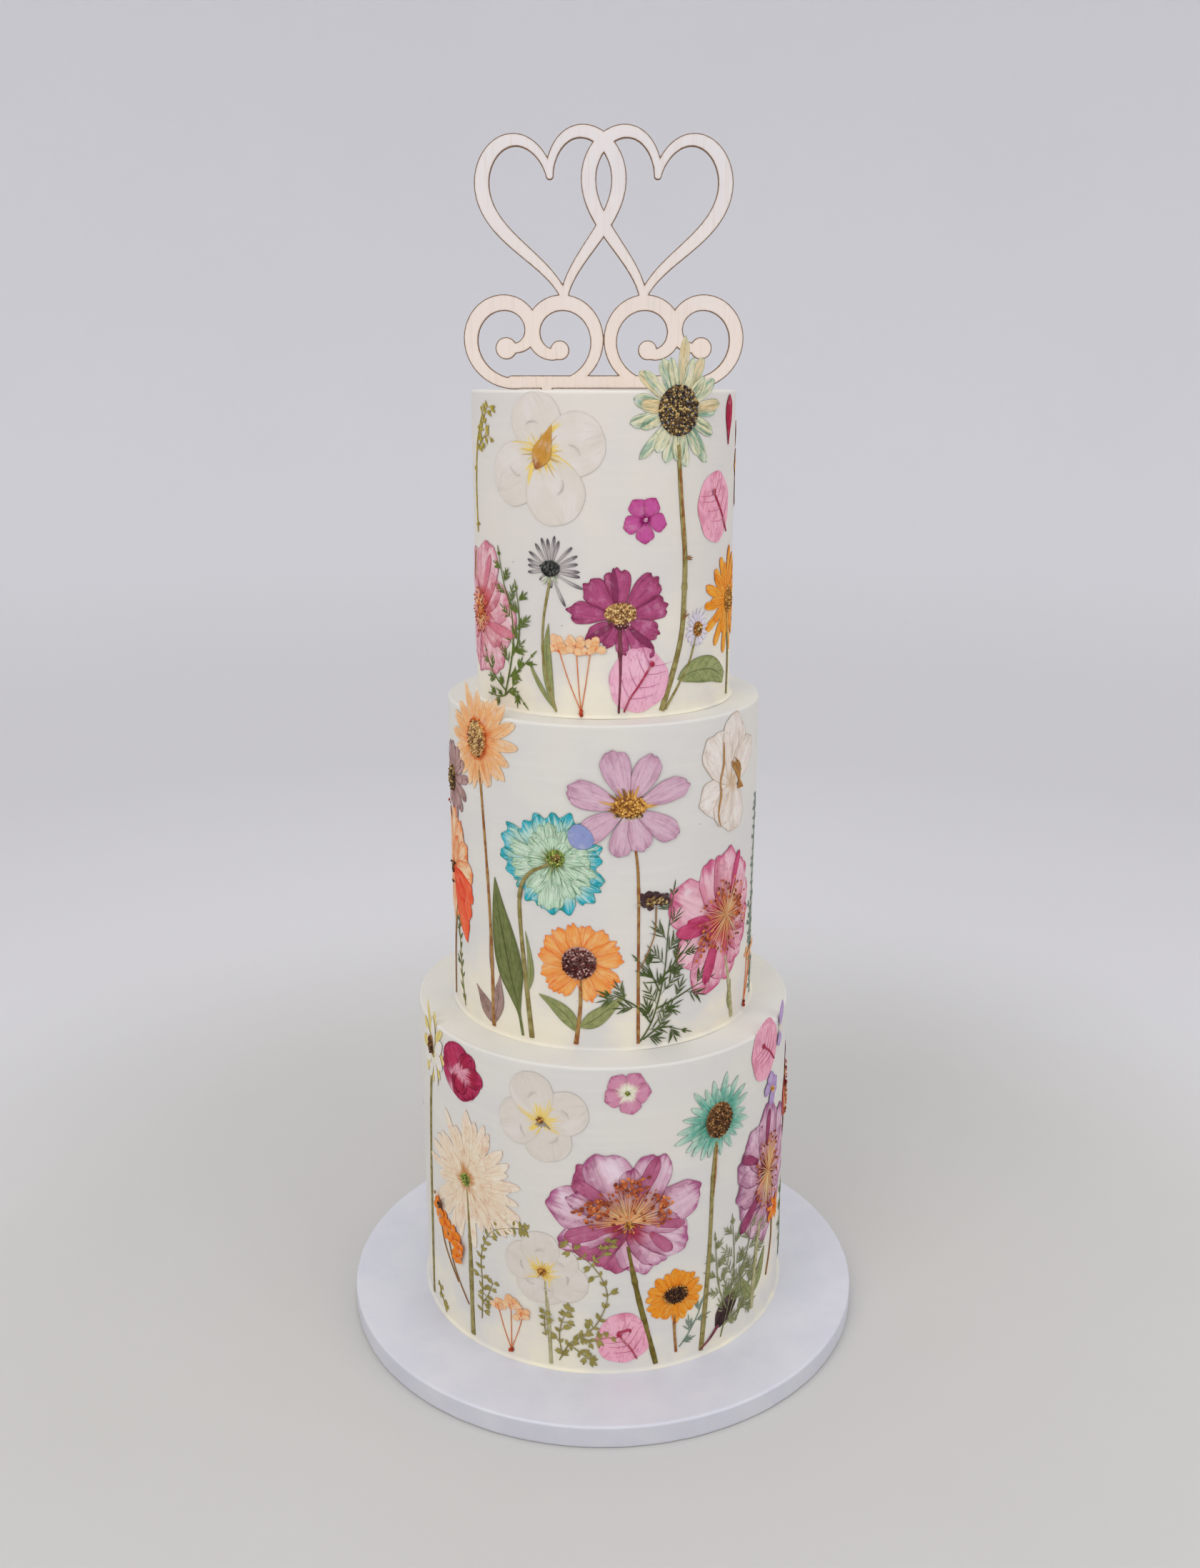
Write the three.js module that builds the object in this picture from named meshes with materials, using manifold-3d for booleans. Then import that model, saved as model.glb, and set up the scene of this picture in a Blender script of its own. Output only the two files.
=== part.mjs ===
// A three-tier wedding cake on a round board: smooth iced tiers, pressed flowers
// laid flat on their sides, and a cut-out wooden topper on two stakes.
// Millimetres, +Z up, the origin under the middle of the board, front towards -Y.
import * as THREE from 'three';
import { mergeVertices } from 'three/addons/utils/BufferGeometryUtils.js';
import Module from 'manifold-3d';

const wasm = await Module();
wasm.setup();

// ---------- driving dimensions ----------
const fitGap = 0.3;                       // clear space between pieces that touch
const board = { radius: 152.4, thickness: 13, edgeRound: 1.2 };
const rimRound = 1.6;                     // soft edge where a tier's side meets its top
const tiers = {
  bottom: { radius: 108, foot: board.thickness + fitGap, top: 198 },
  middle: { radius: 86.5, foot: 198 + fitGap, top: 376 },
  top: { radius: 70, foot: 376 + fitGap, top: 538 },
};
const topper = {
  thickness: 3, width: 144, baseZ: 538 + fitGap, topZ: 667,
  stroke: 6.8, stakeX: 30, stakeWidth: 6, stakeDepth: 32,
};
const petal = {
  thickness: 0.7,                         // pressed petals and leaves
  lift: 0.7,                              // least height of a layer over the icing
  gap: 0.15,                              // clear space under a layer
  wave: 0.12,                             // how far every other edge point stands out
  layerStep: 0.2,                         // how far the next try lies further out
  discRise: 0.7,                          // middles stand this much prouder than petals
};
const stalk = { width: 2.4, under: 0.15, over: 0.6 };   // a stem stays inside its petals' depth

// ---------- solids ----------
function solidOf(positions, triangles) {
  const mesh = new wasm.Mesh({
    numProp: 3,
    vertProperties: new Float32Array(positions.flat()),
    triVerts: new Uint32Array(triangles.flat()),
  });
  return new wasm.Manifold(mesh);
}

function solidOfGeometry(geometry) {
  geometry.deleteAttribute('normal');
  geometry.deleteAttribute('uv');
  const merged = mergeVertices(geometry, 1e-4);
  return new wasm.Manifold(new wasm.Mesh({
    numProp: 3,
    vertProperties: new Float32Array(merged.attributes.position.array),
    triVerts: new Uint32Array(merged.index.array),
  }));
}

function geometryOf(solid) {
  const mesh = solid.getMesh();
  const geometry = new THREE.BufferGeometry();
  geometry.setAttribute('position', new THREE.BufferAttribute(new Float32Array(mesh.vertProperties), 3));
  geometry.setIndex(new THREE.BufferAttribute(new Uint32Array(mesh.triVerts), 1));
  geometry.computeVertexNormals();
  return geometry;
}

function meshOf(name, geometry, color, roughness, metalness = 0) {
  const mesh = new THREE.Mesh(geometry, new THREE.MeshStandardMaterial({ color, roughness, metalness }));
  mesh.name = name;
  return mesh;
}

// A turned solid about Z from [radius, z] points that start and end on the axis.
function turned(profile, segments) {
  const geometry = new THREE.LatheGeometry(profile.map(([r, z]) => new THREE.Vector2(r, z)), segments);
  geometry.rotateX(Math.PI / 2);
  return solidOfGeometry(geometry);
}

// ---------- pressed plants ----------
// A plant is made flat as [across, height, out] in mm and then bent round its tier:
// across runs along the tier's side, out stands away from the icing.
const acrossAt = (tier, azimuth) => THREE.MathUtils.degToRad(azimuth) * tier.radius;

function bentRound(tier, lift, points) {
  return points.map(([across, height, out]) => {
    const angle = across / tier.radius;
    const radius = tier.radius + lift + out;
    return [radius * Math.sin(angle), -radius * Math.cos(angle), height];
  });
}

// One flower head: a middle, a ring at the disc's edge and a ring of petal tips,
// with both faces split alike. outline holds the relative reach of one petal's points.
function head(kind, azimuth, z, reach, turn = 0, squash = 1) {
  return (tier) => {
    const { petals, outline, disc, uneven = 0.05 } = flowerKinds[kind];
    const count = petals * outline.length;
    const rings = outline.length === 1 ? [1] : [disc, 1];
    const u0 = acrossAt(tier, azimuth);
    const points = [[u0, z, petal.thickness + petal.discRise], [u0, z, 0]];
    rings.forEach((share, ring) => {
      const isRim = ring === rings.length - 1;
      for (let i = 0; i < count; i++) {
        const angle = (2 * Math.PI * (i + 0.5)) / count + THREE.MathUtils.degToRad(turn);
        const length = 1 + uneven * Math.sin(Math.floor(i / outline.length) * 2.4 + azimuth);
        const r = reach * share * (isRim ? outline[i % outline.length] * length : 1);
        const wave = isRim ? petal.wave * (i % 2) : 0;
        const rise = isRim ? wave : petal.discRise;
        const [u, v] = [u0 + r * Math.cos(angle), z + r * squash * Math.sin(angle)];
        points.push([u, v, petal.thickness + rise], [u, v, wave]);
      }
    });
    const top = (ring, i) => 2 + 2 * (ring * count + (i % count));
    const last = rings.length - 1;
    const triangles = [];
    for (let i = 0; i < count; i++) {
      triangles.push([0, top(0, i), top(0, i + 1)], [1, top(0, i + 1) + 1, top(0, i) + 1]);
      if (last > 0) {
        const [a, b, c, d] = [top(0, i), top(1, i), top(1, i + 1), top(0, i + 1)];
        triangles.push([a, b, c], [a, c, d], [a + 1, c + 1, b + 1], [a + 1, d + 1, c + 1]);
      }
      const [e, f] = [top(last, i), top(last, i + 1)];
      triangles.push([e, e + 1, f + 1], [e, f + 1, f]);
    }
    return { points, triangles };
  };
}

// A strip along a path of [azimuth, z] points, from under to over above its layer.
// halfWidths has one value a station; a midrib column is raised where rib is above 0.
function strip(path, halfWidths, { under, over, rib = 0 }) {
  return (tier) => {
    const line = path.map(([azimuth, z]) => new THREE.Vector2(acrossAt(tier, azimuth), z));
    const curve = line.length > 2 ? new THREE.SplineCurve(line) : new THREE.LineCurve(...line);
    const stations = halfWidths.length;
    const columns = rib > 0 ? [-1, 0, 1] : [-1, 1];
    const points = [];
    halfWidths.forEach((halfWidth, i) => {
      const middle = curve.getPoint(i / (stations - 1));
      const along = curve.getTangent(i / (stations - 1));
      for (const side of columns) {
        const u = middle.x + along.y * side * halfWidth;
        const v = middle.y - along.x * side * halfWidth;
        const out = side === 0 ? rib : 0;
        points.push([u, v, over + out], [u, v, under]);
      }
    });
    const width = columns.length;
    const top = (i, j) => 2 * (i * width + j);
    const triangles = [];
    for (let i = 0; i < stations - 1; i++) {
      for (let j = 0; j < width - 1; j++) {
        const [a, b, c, d] = [top(i, j), top(i, j + 1), top(i + 1, j + 1), top(i + 1, j)];
        triangles.push([a, b, c], [a, c, d], [a + 1, c + 1, b + 1], [a + 1, d + 1, c + 1]);
      }
      const [p, q, r, t] = [top(i, 0), top(i + 1, 0), top(i, width - 1), top(i + 1, width - 1)];
      triangles.push([p, q, q + 1], [p, q + 1, p + 1], [r, t + 1, t], [r, r + 1, t + 1]);
    }
    for (let j = 0; j < width - 1; j++) {
      const [a, b] = [top(0, j), top(0, j + 1)];
      const [c, d] = [top(stations - 1, j), top(stations - 1, j + 1)];
      triangles.push([a, a + 1, b + 1], [a, b + 1, b], [c, d + 1, c + 1], [c, d, d + 1]);
    }
    return { points, triangles };
  };
}

function stem(...path) {
  const length = Math.abs(path[0][1] - path[path.length - 1][1]);
  const stations = path.length === 2 ? 2 : Math.max(3, Math.round(length / 28) + 1);
  return strip(path, Array(stations).fill(stalk.width / 2), stalk);
}

const blade = { under: 0, over: petal.thickness, rib: 0.25 };

// A lance-shaped leaf from its foot to its point.
function leaf(from, to, width) {
  return strip([from, to], [0.25, 0.9, 0.95, 0.12].map((share) => (share * width) / 2), blade);
}

// A fern frond or thyme sprig: a leaf whose edge is cut in and out between leaflets.
function frond(path, width, pairs) {
  const halfWidths = [stalk.width / 2];
  for (let i = 1; i <= 2 * pairs; i++) {
    const reach = (width / 2) * Math.sin(Math.PI * (0.12 + (0.8 * i) / (2 * pairs)));
    halfWidths.push(i % 2 ? reach : Math.max(reach * 0.3, stalk.width / 3));
  }
  return strip(path, halfWidths, blade);
}

// A small umbel: thin stems that fan out from a foot, each with a little head.
function umbel(from, tips, headReach) {
  const stalks = tips.map((tip) => strip([from, tip], [0.9, 0.9], stalk));
  const heads = tips.map(([azimuth, z]) => head('floret', azimuth, z, headReach));
  return [...stalks, ...heads];
}

const flowerKinds = {
  pansy: { petals: 5, outline: [0.68, 1, 0.96], disc: 0.45 },
  phlox: { petals: 5, outline: [0.58, 1], disc: 0.4 },
  daisy: { petals: 8, outline: [0.76, 1], disc: 0.45 },
  smallDaisy: { petals: 6, outline: [0.68, 1], disc: 0.4 },
  cosmos: { petals: 8, outline: [0.78, 1], disc: 0.45, uneven: 0.08 },
  rosette: { petals: 6, outline: [0.86, 1, 0.98], disc: 0.45, uneven: 0.07 },
  peony: { petals: 6, outline: [0.84, 1, 0.97], disc: 0.45, uneven: 0.1 },
  aster: { petals: 8, outline: [0.64, 1], disc: 0.4 },
  calendula: { petals: 7, outline: [0.84, 1], disc: 0.45 },
  bract: { petals: 2, outline: [1, 0.76, 0.6, 0.76], disc: 0.4, uneven: 0 },
  roundBract: { petals: 2, outline: [1, 0.93, 0.88, 0.93], disc: 0.4, uneven: 0.03 },
  floret: { petals: 5, outline: [1], disc: 1 },
};

const tones = {
  white: 0xf1efe6, cream: 0xe8dcc0, pink: 0xe3a3ad, pale: 0xe9cdd3, magenta: 0xb03a78,
  purple: 0x6d4a7d, violet: 0x8d86a8, red: 0x8c2430, orange: 0xd9822e, peach: 0xe6a27c,
  teal: 0x5aa7a8, yellow: 0xd8b34a, brown: 0x6b4a3a, green: 0x6e8445, olive: 0x84834a, dark: 0x3f5a36,
};

// Each bunch is one solid: heads, stems and leaves that lie on each other.
// Places are [azimuth in degrees from the front, z in mm].
const foot = { bottom: 15.5, middle: 200.5, top: 378.5 };
const bunches = {
  top: {
    top_pansy_white: ['white', head('pansy', -27, 506, 30, 18)],
    top_daisy_green: ['olive', head('daisy', 35, 527, 27),
      stem([32.5, 504], [31, 470], [31, 430], [25.5, foot.top])],
    top_phlox_magenta: ['magenta', head('phlox', 17, 476, 11.5, 12)],
    top_bract_pink: ['pink', head('bract', 54, 480, 17, 90)],
    top_petal_red: ['red', head('bract', 66, 523, 12.5, 80)],
    top_rose_pink: ['pink', head('rosette', -60, 436, 21, 10, 1.25),
      stem([-61, 414], [-58, foot.top + 8]),
      frond([[-46, foot.top], [-47, 405], [-50, 430]], 20, 4)],
    top_aster_violet: ['violet', head('aster', -22.5, 451, 14),
      stem([-23.5, 439], [-25, 412], [-20.5, foot.top]),
      leaf([-21.5, 383], [-28, 412], 7)],
    top_cosmos_magenta: ['magenta', head('cosmos', 6.5, 431, 24, 8, 0.9),
      stem([6.5, 412], [6.5, foot.top])],
    top_umbel_orange: ['orange', ...umbel([-10, 382], [[-19, 414], [-11, 417], [-5, 413]], 3.6)],
    top_bract_veined: ['pink', head('roundBract', 15, 395, 16.5, 60)],
    top_daisy_small: ['violet', head('smallDaisy', 43.5, 419, 7),
      stem([42, 414.5], [36, 398], [27.5, foot.top + 1]),
      leaf([34, 392], [64, 396], 13)],
    top_calendula_orange: ['orange', head('calendula', 63, 433, 17, 0, 1.4),
      stem([65, 414], [70, foot.top])],
    top_sprig_olive: ['olive', frond([[-66, 470], [-65, 500], [-67, 532]], 14, 4)],
    top_back_poppy: ['orange', head('cosmos', 104, 498, 29, 20),
      stem([103, 474], [100, 430], [103, foot.top]),
      frond([[103.5, foot.top], [108, 405], [111, 430]], 18, 4)],
    top_back_pansy: ['purple', head('pansy', 148, 440, 28, 40),
      stem([148, 422], [143, foot.top]),
      head('phlox', 145, 467, 12.5)],
    top_back_daisy: ['white', head('daisy', 188, 500, 27),
      stem([188, 477], [190, 430], [186, foot.top]),
      leaf([187, 386], [177, 425], 12)],
    top_back_peony: ['pink', head('peony', 238, 462, 32, 10),
      stem([238, 435], [242, foot.top]),
      frond([[242.5, foot.top], [252, 402], [257, 424]], 18, 4)],
  },
  middle: {
    middle_daisy_peach: ['peach', head('daisy', -49, 362, 27.5),
      stem([-49, 340], [-45.5, 280], [-44, foot.middle]),
      leaf([-44.3, 204], [-51, 226], 9)],
    middle_daisy_brown: ['purple', head('cosmos', -71, 333, 19, 0)],
    middle_flower_orange: ['orange', head('calendula', -69, 281, 24, 0, 1.35),
      stem([-71, 254], [-79, foot.middle]),
      frond([[-78, foot.middle + 1], [-68, 225], [-64, 246]], 16, 4)],
    middle_carnation_turquoise: ['teal', head('calendula', -18, 303.5, 27, 0),
      stem([-25, 284], [-31, 262], [-26, foot.middle])],
    middle_cosmos_pale: ['pale', head('cosmos', 8.5, 333, 29.5, 12),
      stem([12, 308], [12.3, foot.middle])],
    middle_freesia_cream: ['cream', head('pansy', 49, 343, 27, 60, 1.08)],
    middle_peony_magenta: ['magenta', head('peony', 46, 264, 37, 0, 1.05),
      stem([52, 232], [55, foot.middle]),
      leaf([54.6, 204], [61, 226], 9)],
    middle_helenium_orange: ['orange', head('daisy', -9, 247, 22),
      stem([-8, 234], [-8, foot.middle]),
      leaf([-8, 206], [-24, 227], 9), leaf([-7.5, 208], [8, 226], 9)],
    middle_leaf_green: ['green', leaf([-29, foot.middle], [-41, 287], 19)],
    middle_fern_dark: ['dark', frond([[19, foot.middle], [16, 235], [17.5, 282]], 34, 5)],
    middle_sprig_blue: ['teal', frond([[75, 203], [73, 260], [75, 322]], 12, 6),
      ...umbel([74.6, 206], [[67, 232]], 4.5)],
    middle_back_carnation: ['red', head('rosette', 112, 318, 30, 0),
      stem([111, 293], [108, 245], [111, foot.middle]),
      frond([[110.5, foot.middle], [101, 232], [98, 258]], 20, 4)],
    middle_back_rudbeckia: ['yellow', head('daisy', 140, 250, 27),
      stem([140, 227], [143, foot.middle]),
      head('phlox', 150, 276, 14, 9)],
    middle_back_cosmos: ['pale', head('cosmos', 180, 330, 31, 5),
      stem([180, 303], [183, 250], [180, foot.middle]),
      leaf([181, 212], [192, 254], 14)],
    middle_back_pansy: ['purple', head('pansy', 214, 262, 28, 25),
      stem([214, 238], [210, foot.middle]),
      head('smallDaisy', 214, 293, 10)],
    middle_back_peony: ['pink', head('peony', 254, 306, 35, 0),
      stem([254, 275], [250, 240], [252, foot.middle]),
      leaf([251.5, 210], [241, 246], 13)],
  },
  bottom: {
    bottom_petal_magenta: ['magenta', head('bract', -46, 180, 18, 65, 1)],
    bottom_pansy_white: ['white', head('pansy', -18.5, 168, 25.5, 18)],
    bottom_phlox_pink: ['pink', head('phlox', 6.5, 183.5, 12.5, 6)],
    bottom_daisy_teal: ['teal', head('daisy', 36, 158.5, 26),
      stem([35, 137], [32.5, 80], [31, foot.bottom])],
    bottom_bract_pink: ['pink', head('roundBract', 56, 184, 16, 90),
      head('smallDaisy', 59, 163, 10)],
    bottom_peony_purple: ['purple', head('peony', 57, 105, 32, 0, 1.25),
      stem([56, 78], [53, 22]), leaf([54, 34], [61, 60], 9), leaf([53.4, 30], [46, 50], 9)],
    bottom_peony_pink: ['magenta', head('peony', 7, 113, 40, 0, 0.92),
      stem([7, 86], [9, 50], [15.5, foot.bottom])],
    bottom_dahlia_cream: ['cream', head('rosette', -44, 116, 35, 8, 1.08),
      stem([-45, 90], [-44.3, foot.bottom]),
      ...umbel([-45, 30], [[-58, 70]], 6), head('smallDaisy', -56, 84, 9)],
    bottom_sprig_olive: ['olive', stem([-64, 172], [-69, 90], [-70, foot.bottom]),
      head('calendula', -63, 184, 17, 0, 1.2)],
    bottom_thyme_curved: ['olive', frond([[-24, 96], [-34, 93], [-38.5, 70], [-40, 34]], 7, 5)],
    bottom_pansy_small: ['white', head('pansy', -18, 74, 24, 50),
      stem([-17, 57], [-15.6, foot.bottom])],
    bottom_thyme_low: ['green', frond([[-10, 18], [-9, 38], [-3, 62], [-1, 93]], 17, 6)],
    bottom_umbel_orange: ['orange', ...umbel([-29, 18], [[-33.5, 43], [-27, 47], [-22, 43]], 4.2)],
    bottom_bract_round: ['pink', head('roundBract', 5.8, 34, 16, 60)],
    bottom_calendula_orange: ['orange', head('calendula', 21.5, 57, 16, 0),
      stem([21, 46], [21.5, 20]), leaf([21.6, 24], [29, 43], 8)],
    bottom_fern_tall: ['dark', frond([[39, foot.bottom + 2], [40, 40], [45, 66], [50, 88]], 26, 6)],
    bottom_back_rose: ['red', head('peony', 92, 132, 38, 0),
      stem([92, 102], [88, foot.bottom]),
      frond([[88, foot.bottom], [80, 48], [78, 80]], 22, 5)],
    bottom_back_daisy: ['white', head('daisy', 122, 156, 27),
      stem([122, 133], [125, 80], [121, foot.bottom]),
      head('calendula', 116.5, 56, 18)],
    bottom_back_pansy: ['purple', head('pansy', 152, 92, 33, 18),
      stem([152, 64], [149, foot.bottom]),
      head('phlox', 156, 128, 15)],
    bottom_back_cosmos: ['pale', head('cosmos', 186, 140, 37, 0),
      stem([186, 114], [189, 60], [184, foot.bottom]),
      leaf([186, 30], [172, 68], 17)],
    bottom_back_helenium: ['orange', head('daisy', 218, 96, 28),
      stem([218, 72], [214, foot.bottom]),
      frond([[214, foot.bottom], [205, 38], [201, 64]], 20, 4)],
    bottom_back_peony: ['pink', head('peony', 252, 128, 39, 0),
      stem([252, 94], [255, 55], [250, foot.bottom]),
      leaf([251.5, 28], [264, 60], 14)],
  },
};

function bunchAt(tier, pieces, lift) {
  return pieces.map((piece) => {
    const { points, triangles } = piece(tier);
    return solidOf(bentRound(tier, lift, points), triangles);
  }).reduce((joined, solid) => joined.add(solid));
}

// Lays a bunch on its tier, and on what lies there, as low as it goes with a clear gap.
function laid(tier, pieces, earlier) {
  const runsInto = (bunch) => earlier.some((other) => bunch.intersect(other).volume() > 0);
  let lift = petal.lift;
  while (runsInto(bunchAt(tier, pieces, lift - petal.gap))) lift += petal.layerStep;
  return bunchAt(tier, pieces, lift);
}

// ---------- topper ----------
// A stroke of changing width along points in the upright plane, as a flat shape.
function strokeShape(points, widths) {
  const left = [];
  const right = [];
  points.forEach(([x, z], i) => {
    const [x0, z0] = points[Math.max(i - 1, 0)];
    const [x1, z1] = points[Math.min(i + 1, points.length - 1)];
    const length = Math.hypot(x1 - x0, z1 - z0);
    const [nx, nz] = [-(z1 - z0) / length, (x1 - x0) / length];
    left.push(new THREE.Vector2(x + (nx * widths[i]) / 2, z + (nz * widths[i]) / 2));
    right.unshift(new THREE.Vector2(x - (nx * widths[i]) / 2, z - (nz * widths[i]) / 2));
  });
  return new THREE.Shape([...left, ...right]);
}

function plate(shape) {
  const geometry = new THREE.ExtrudeGeometry(shape, { depth: topper.thickness, bevelEnabled: false });
  geometry.rotateX(Math.PI / 2);
  geometry.translate(0, topper.thickness / 2, 0);
  return solidOfGeometry(geometry);
}

// A scroll: a stroke whose radius shrinks as it turns about its middle.
function scroll([x, z], fromRadius, toRadius, fromDegrees, toDegrees, steps) {
  const points = [];
  const widths = [];
  for (let i = 0; i <= steps; i++) {
    const share = i / steps;
    const angle = THREE.MathUtils.degToRad(fromDegrees + (toDegrees - fromDegrees) * share);
    const radius = fromRadius + (toRadius - fromRadius) * share;
    points.push([x + radius * Math.cos(angle), z + radius * Math.sin(angle)]);
    widths.push(topper.stroke * (0.75 + 0.45 * Math.sin(Math.PI * share)));
  }
  return strokeShape(points, widths);
}

// One side of a heart, from its notch round the lobe to its tip, thickest at the lobe.
function heartSide([x, z], halfWidth, tilt, side) {
  const points = [];
  const widths = [];
  for (let i = 0; i <= 10; i++) {
    const t = (Math.PI * i) / 10;
    const across = side * halfWidth * Math.sin(t) ** 3;
    const up = (1.25 * halfWidth / 16)
      * (13 * Math.cos(t) - 5 * Math.cos(2 * t) - 2 * Math.cos(3 * t) - Math.cos(4 * t));
    const [cos, sin] = [Math.cos(tilt), Math.sin(tilt)];
    points.push([x + across * cos - up * sin, z + across * sin + up * cos]);
    widths.push(topper.stroke * (0.6 + 0.55 * Math.sin(t) ** 2));
  }
  return strokeShape(points, widths);
}

function disc([x, z], radius) {
  const points = [];
  for (let i = 0; i < 8; i++) {
    const angle = (2 * Math.PI * i) / 8;
    points.push(new THREE.Vector2(x + radius * Math.cos(angle), z + radius * Math.sin(angle)));
  }
  return new THREE.Shape(points);
}

// Two linked hearts over two pairs of scrolls, all one plate with its stakes.
const barInset = 24;                        // from the plate's edge to the end of its foot
const hearts = { reach: 35, rise: 1.08, apart: 0.74, lean: 0.12 };   // rise and apart are shares of the reach
const scrolls = [
  { across: topper.width / 2 - 23, reach: 26, sink: 2, eye: 7, from: -115, to: 255, steps: 12,
    dot: { across: 2, drop: 7, radius: 5.6 } },
  { across: 24, reach: 24, sink: 1, eye: 8, from: 265, to: -110, steps: 11,
    dot: { across: -1, drop: 7, radius: 5 } },
];
const stakePoint = { long: 6, width: 1.5 };
const pocketOver = 1;                       // how far a pocket's cutter passes both its ends

function topperSolid() {
  const { baseZ, topZ, width, stroke, stakeX, stakeWidth, stakeDepth } = topper;
  const barReach = width / 2 - barInset;
  const footZ = baseZ + stroke / 2;
  const stakeEnd = tiers.top.top - stakeDepth;
  const shapes = [strokeShape([[-barReach, footZ], [barReach, footZ]], [stroke, stroke])];
  for (const side of [-1, 1]) {
    const turn = (degrees) => (side > 0 ? degrees : 180 - degrees);
    const middle = [side * hearts.reach * hearts.apart, topZ - hearts.rise * hearts.reach];
    shapes.push(
      heartSide(middle, hearts.reach, -side * hearts.lean, 1),
      heartSide(middle, hearts.reach, -side * hearts.lean, -1),
    );
    for (const { across, reach, sink, eye, from, to, steps, dot } of scrolls) {
      const [x, z] = [side * across, footZ + reach - sink];
      shapes.push(
        scroll([x, z], reach, eye, turn(from), turn(to), steps),
        disc([x + side * dot.across, z - dot.drop], dot.radius),
      );
    }
    shapes.push(strokeShape(
      [[side * stakeX, footZ], [side * stakeX, stakeEnd + stakePoint.long], [side * stakeX, stakeEnd]],
      [stakeWidth, stakeWidth, stakePoint.width],
    ));
  }
  return shapes.map(plate).reduce((joined, solid) => joined.add(solid));
}

// The pockets that the two stakes stand in, cut with clearance.
function stakePockets() {
  const { stakeX, stakeWidth, stakeDepth, thickness } = topper;
  const depth = stakeDepth + 2 * pocketOver;
  return [-1, 1].map((side) => {
    const box = new THREE.BoxGeometry(stakeWidth + 2 * fitGap, thickness + 2 * fitGap, depth);
    box.translate(side * stakeX, 0, tiers.top.top - depth / 2 + pocketOver);
    return solidOfGeometry(box);
  });
}

// ---------- cake ----------
function boardSolid() {
  const { radius, thickness, edgeRound } = board;
  return turned([[0, 0], [radius - edgeRound, 0], [radius, edgeRound],
    [radius, thickness - edgeRound], [radius - edgeRound, thickness], [0, thickness]], 48);
}

function tierSolid({ radius, foot: footZ, top }) {
  return turned([[0, footZ], [radius, footZ], [radius, top - rimRound],
    [radius - rimRound, top], [0, top]], 44);
}

const cake = new THREE.Group();
cake.add(meshOf('cake_board', geometryOf(boardSolid()), 0xc8c6ca, 0.45, 0.2));
for (const [name, tier] of Object.entries(tiers)) {
  let solid = tierSolid(tier);
  if (name === 'top') stakePockets().forEach((pocket) => { solid = solid.subtract(pocket); });
  cake.add(meshOf(`tier_${name}`, geometryOf(solid), 0xe6dfd6, 0.6));
  const earlier = [solid];
  for (const [node, [tone, ...pieces]] of Object.entries(bunches[name])) {
    const bunch = laid(tier, pieces, earlier);
    earlier.push(bunch);
    cake.add(meshOf(node, geometryOf(bunch), tones[tone], 0.7));
  }
}
cake.add(meshOf('topper', geometryOf(topperSolid()), 0xd6c3b2, 0.65));

export default cake;
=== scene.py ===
import bpy
import numpy as np
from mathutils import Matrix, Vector


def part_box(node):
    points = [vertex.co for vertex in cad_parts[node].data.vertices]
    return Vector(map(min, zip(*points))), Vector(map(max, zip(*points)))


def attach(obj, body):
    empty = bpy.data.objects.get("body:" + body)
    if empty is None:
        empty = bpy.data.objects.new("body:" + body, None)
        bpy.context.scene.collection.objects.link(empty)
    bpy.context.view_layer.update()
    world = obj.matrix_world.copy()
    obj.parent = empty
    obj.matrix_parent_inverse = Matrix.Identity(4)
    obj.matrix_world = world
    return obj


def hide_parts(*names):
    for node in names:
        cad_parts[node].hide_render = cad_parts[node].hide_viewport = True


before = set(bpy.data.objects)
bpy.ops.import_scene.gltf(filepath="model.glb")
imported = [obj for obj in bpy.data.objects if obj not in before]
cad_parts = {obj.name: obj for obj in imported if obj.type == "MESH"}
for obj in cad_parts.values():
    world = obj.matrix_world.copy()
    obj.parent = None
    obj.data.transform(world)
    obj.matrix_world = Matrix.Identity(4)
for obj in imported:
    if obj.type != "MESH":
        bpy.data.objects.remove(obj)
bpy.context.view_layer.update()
mm = .001                                    # shapes are worked out in millimetres
lightLevel = .80                             # what a white surface gets from the studio
brightest = .93                              # no finish is whiter than this
print("frame loaded:", len(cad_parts), "nodes")


def wavy(x, y, seed):
    # A smooth unevenness of about -1 to 1: five slanted sine waves, each finer and weaker than the last.
    total = .0
    for k in range(5):
        turn = seed * 12.9898 + k * 2.399
        fx, fy = np.cos(turn) * (1 + .55 * k), np.sin(turn) * (1 + .55 * k)
        total = total + np.sin(fx * x + fy * y + seed * 7.13 + k * 1.7) / (1 + .55 * k)
    return total / 2.3


def smoothRow(values, t):
    # A curve through evenly spaced values at shares t of its length, with Catmull-Rom slopes.
    values = np.asarray(values, float)
    last = len(values) - 1
    place = np.clip(t, 0, 1) * last
    i = np.clip(np.floor(place).astype(int), 0, last - 1)
    f = (place - i).reshape(place.shape + (1,) * (values.ndim - 1))
    p0, p1, p2, p3 = (values[np.clip(i + k, 0, last)] for k in (-1, 0, 1, 2))
    bend, swing = 2 * p0 - 5 * p1 + 4 * p2 - p3, 3 * p1 - p0 - 3 * p2 + p3
    return .5 * (2 * p1 + (p2 - p0) * f + bend * f ** 2 + swing * f ** 3)


def inside(points, outline):
    # Which points lie within a closed outline: an odd number of its sides cross the ray to the right.
    x, y = points[:, :1], points[:, 1:2]
    ax, ay = outline[:, 0], outline[:, 1]
    bx, by = np.roll(ax, -1), np.roll(ay, -1)
    rise = np.where(by == ay, 1e-9, by - ay)
    crosses = ((ay > y) != (by > y)) & (x < (bx - ax) * (y - ay) / rise + ax)
    return crosses.sum(1) % 2 == 1


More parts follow.
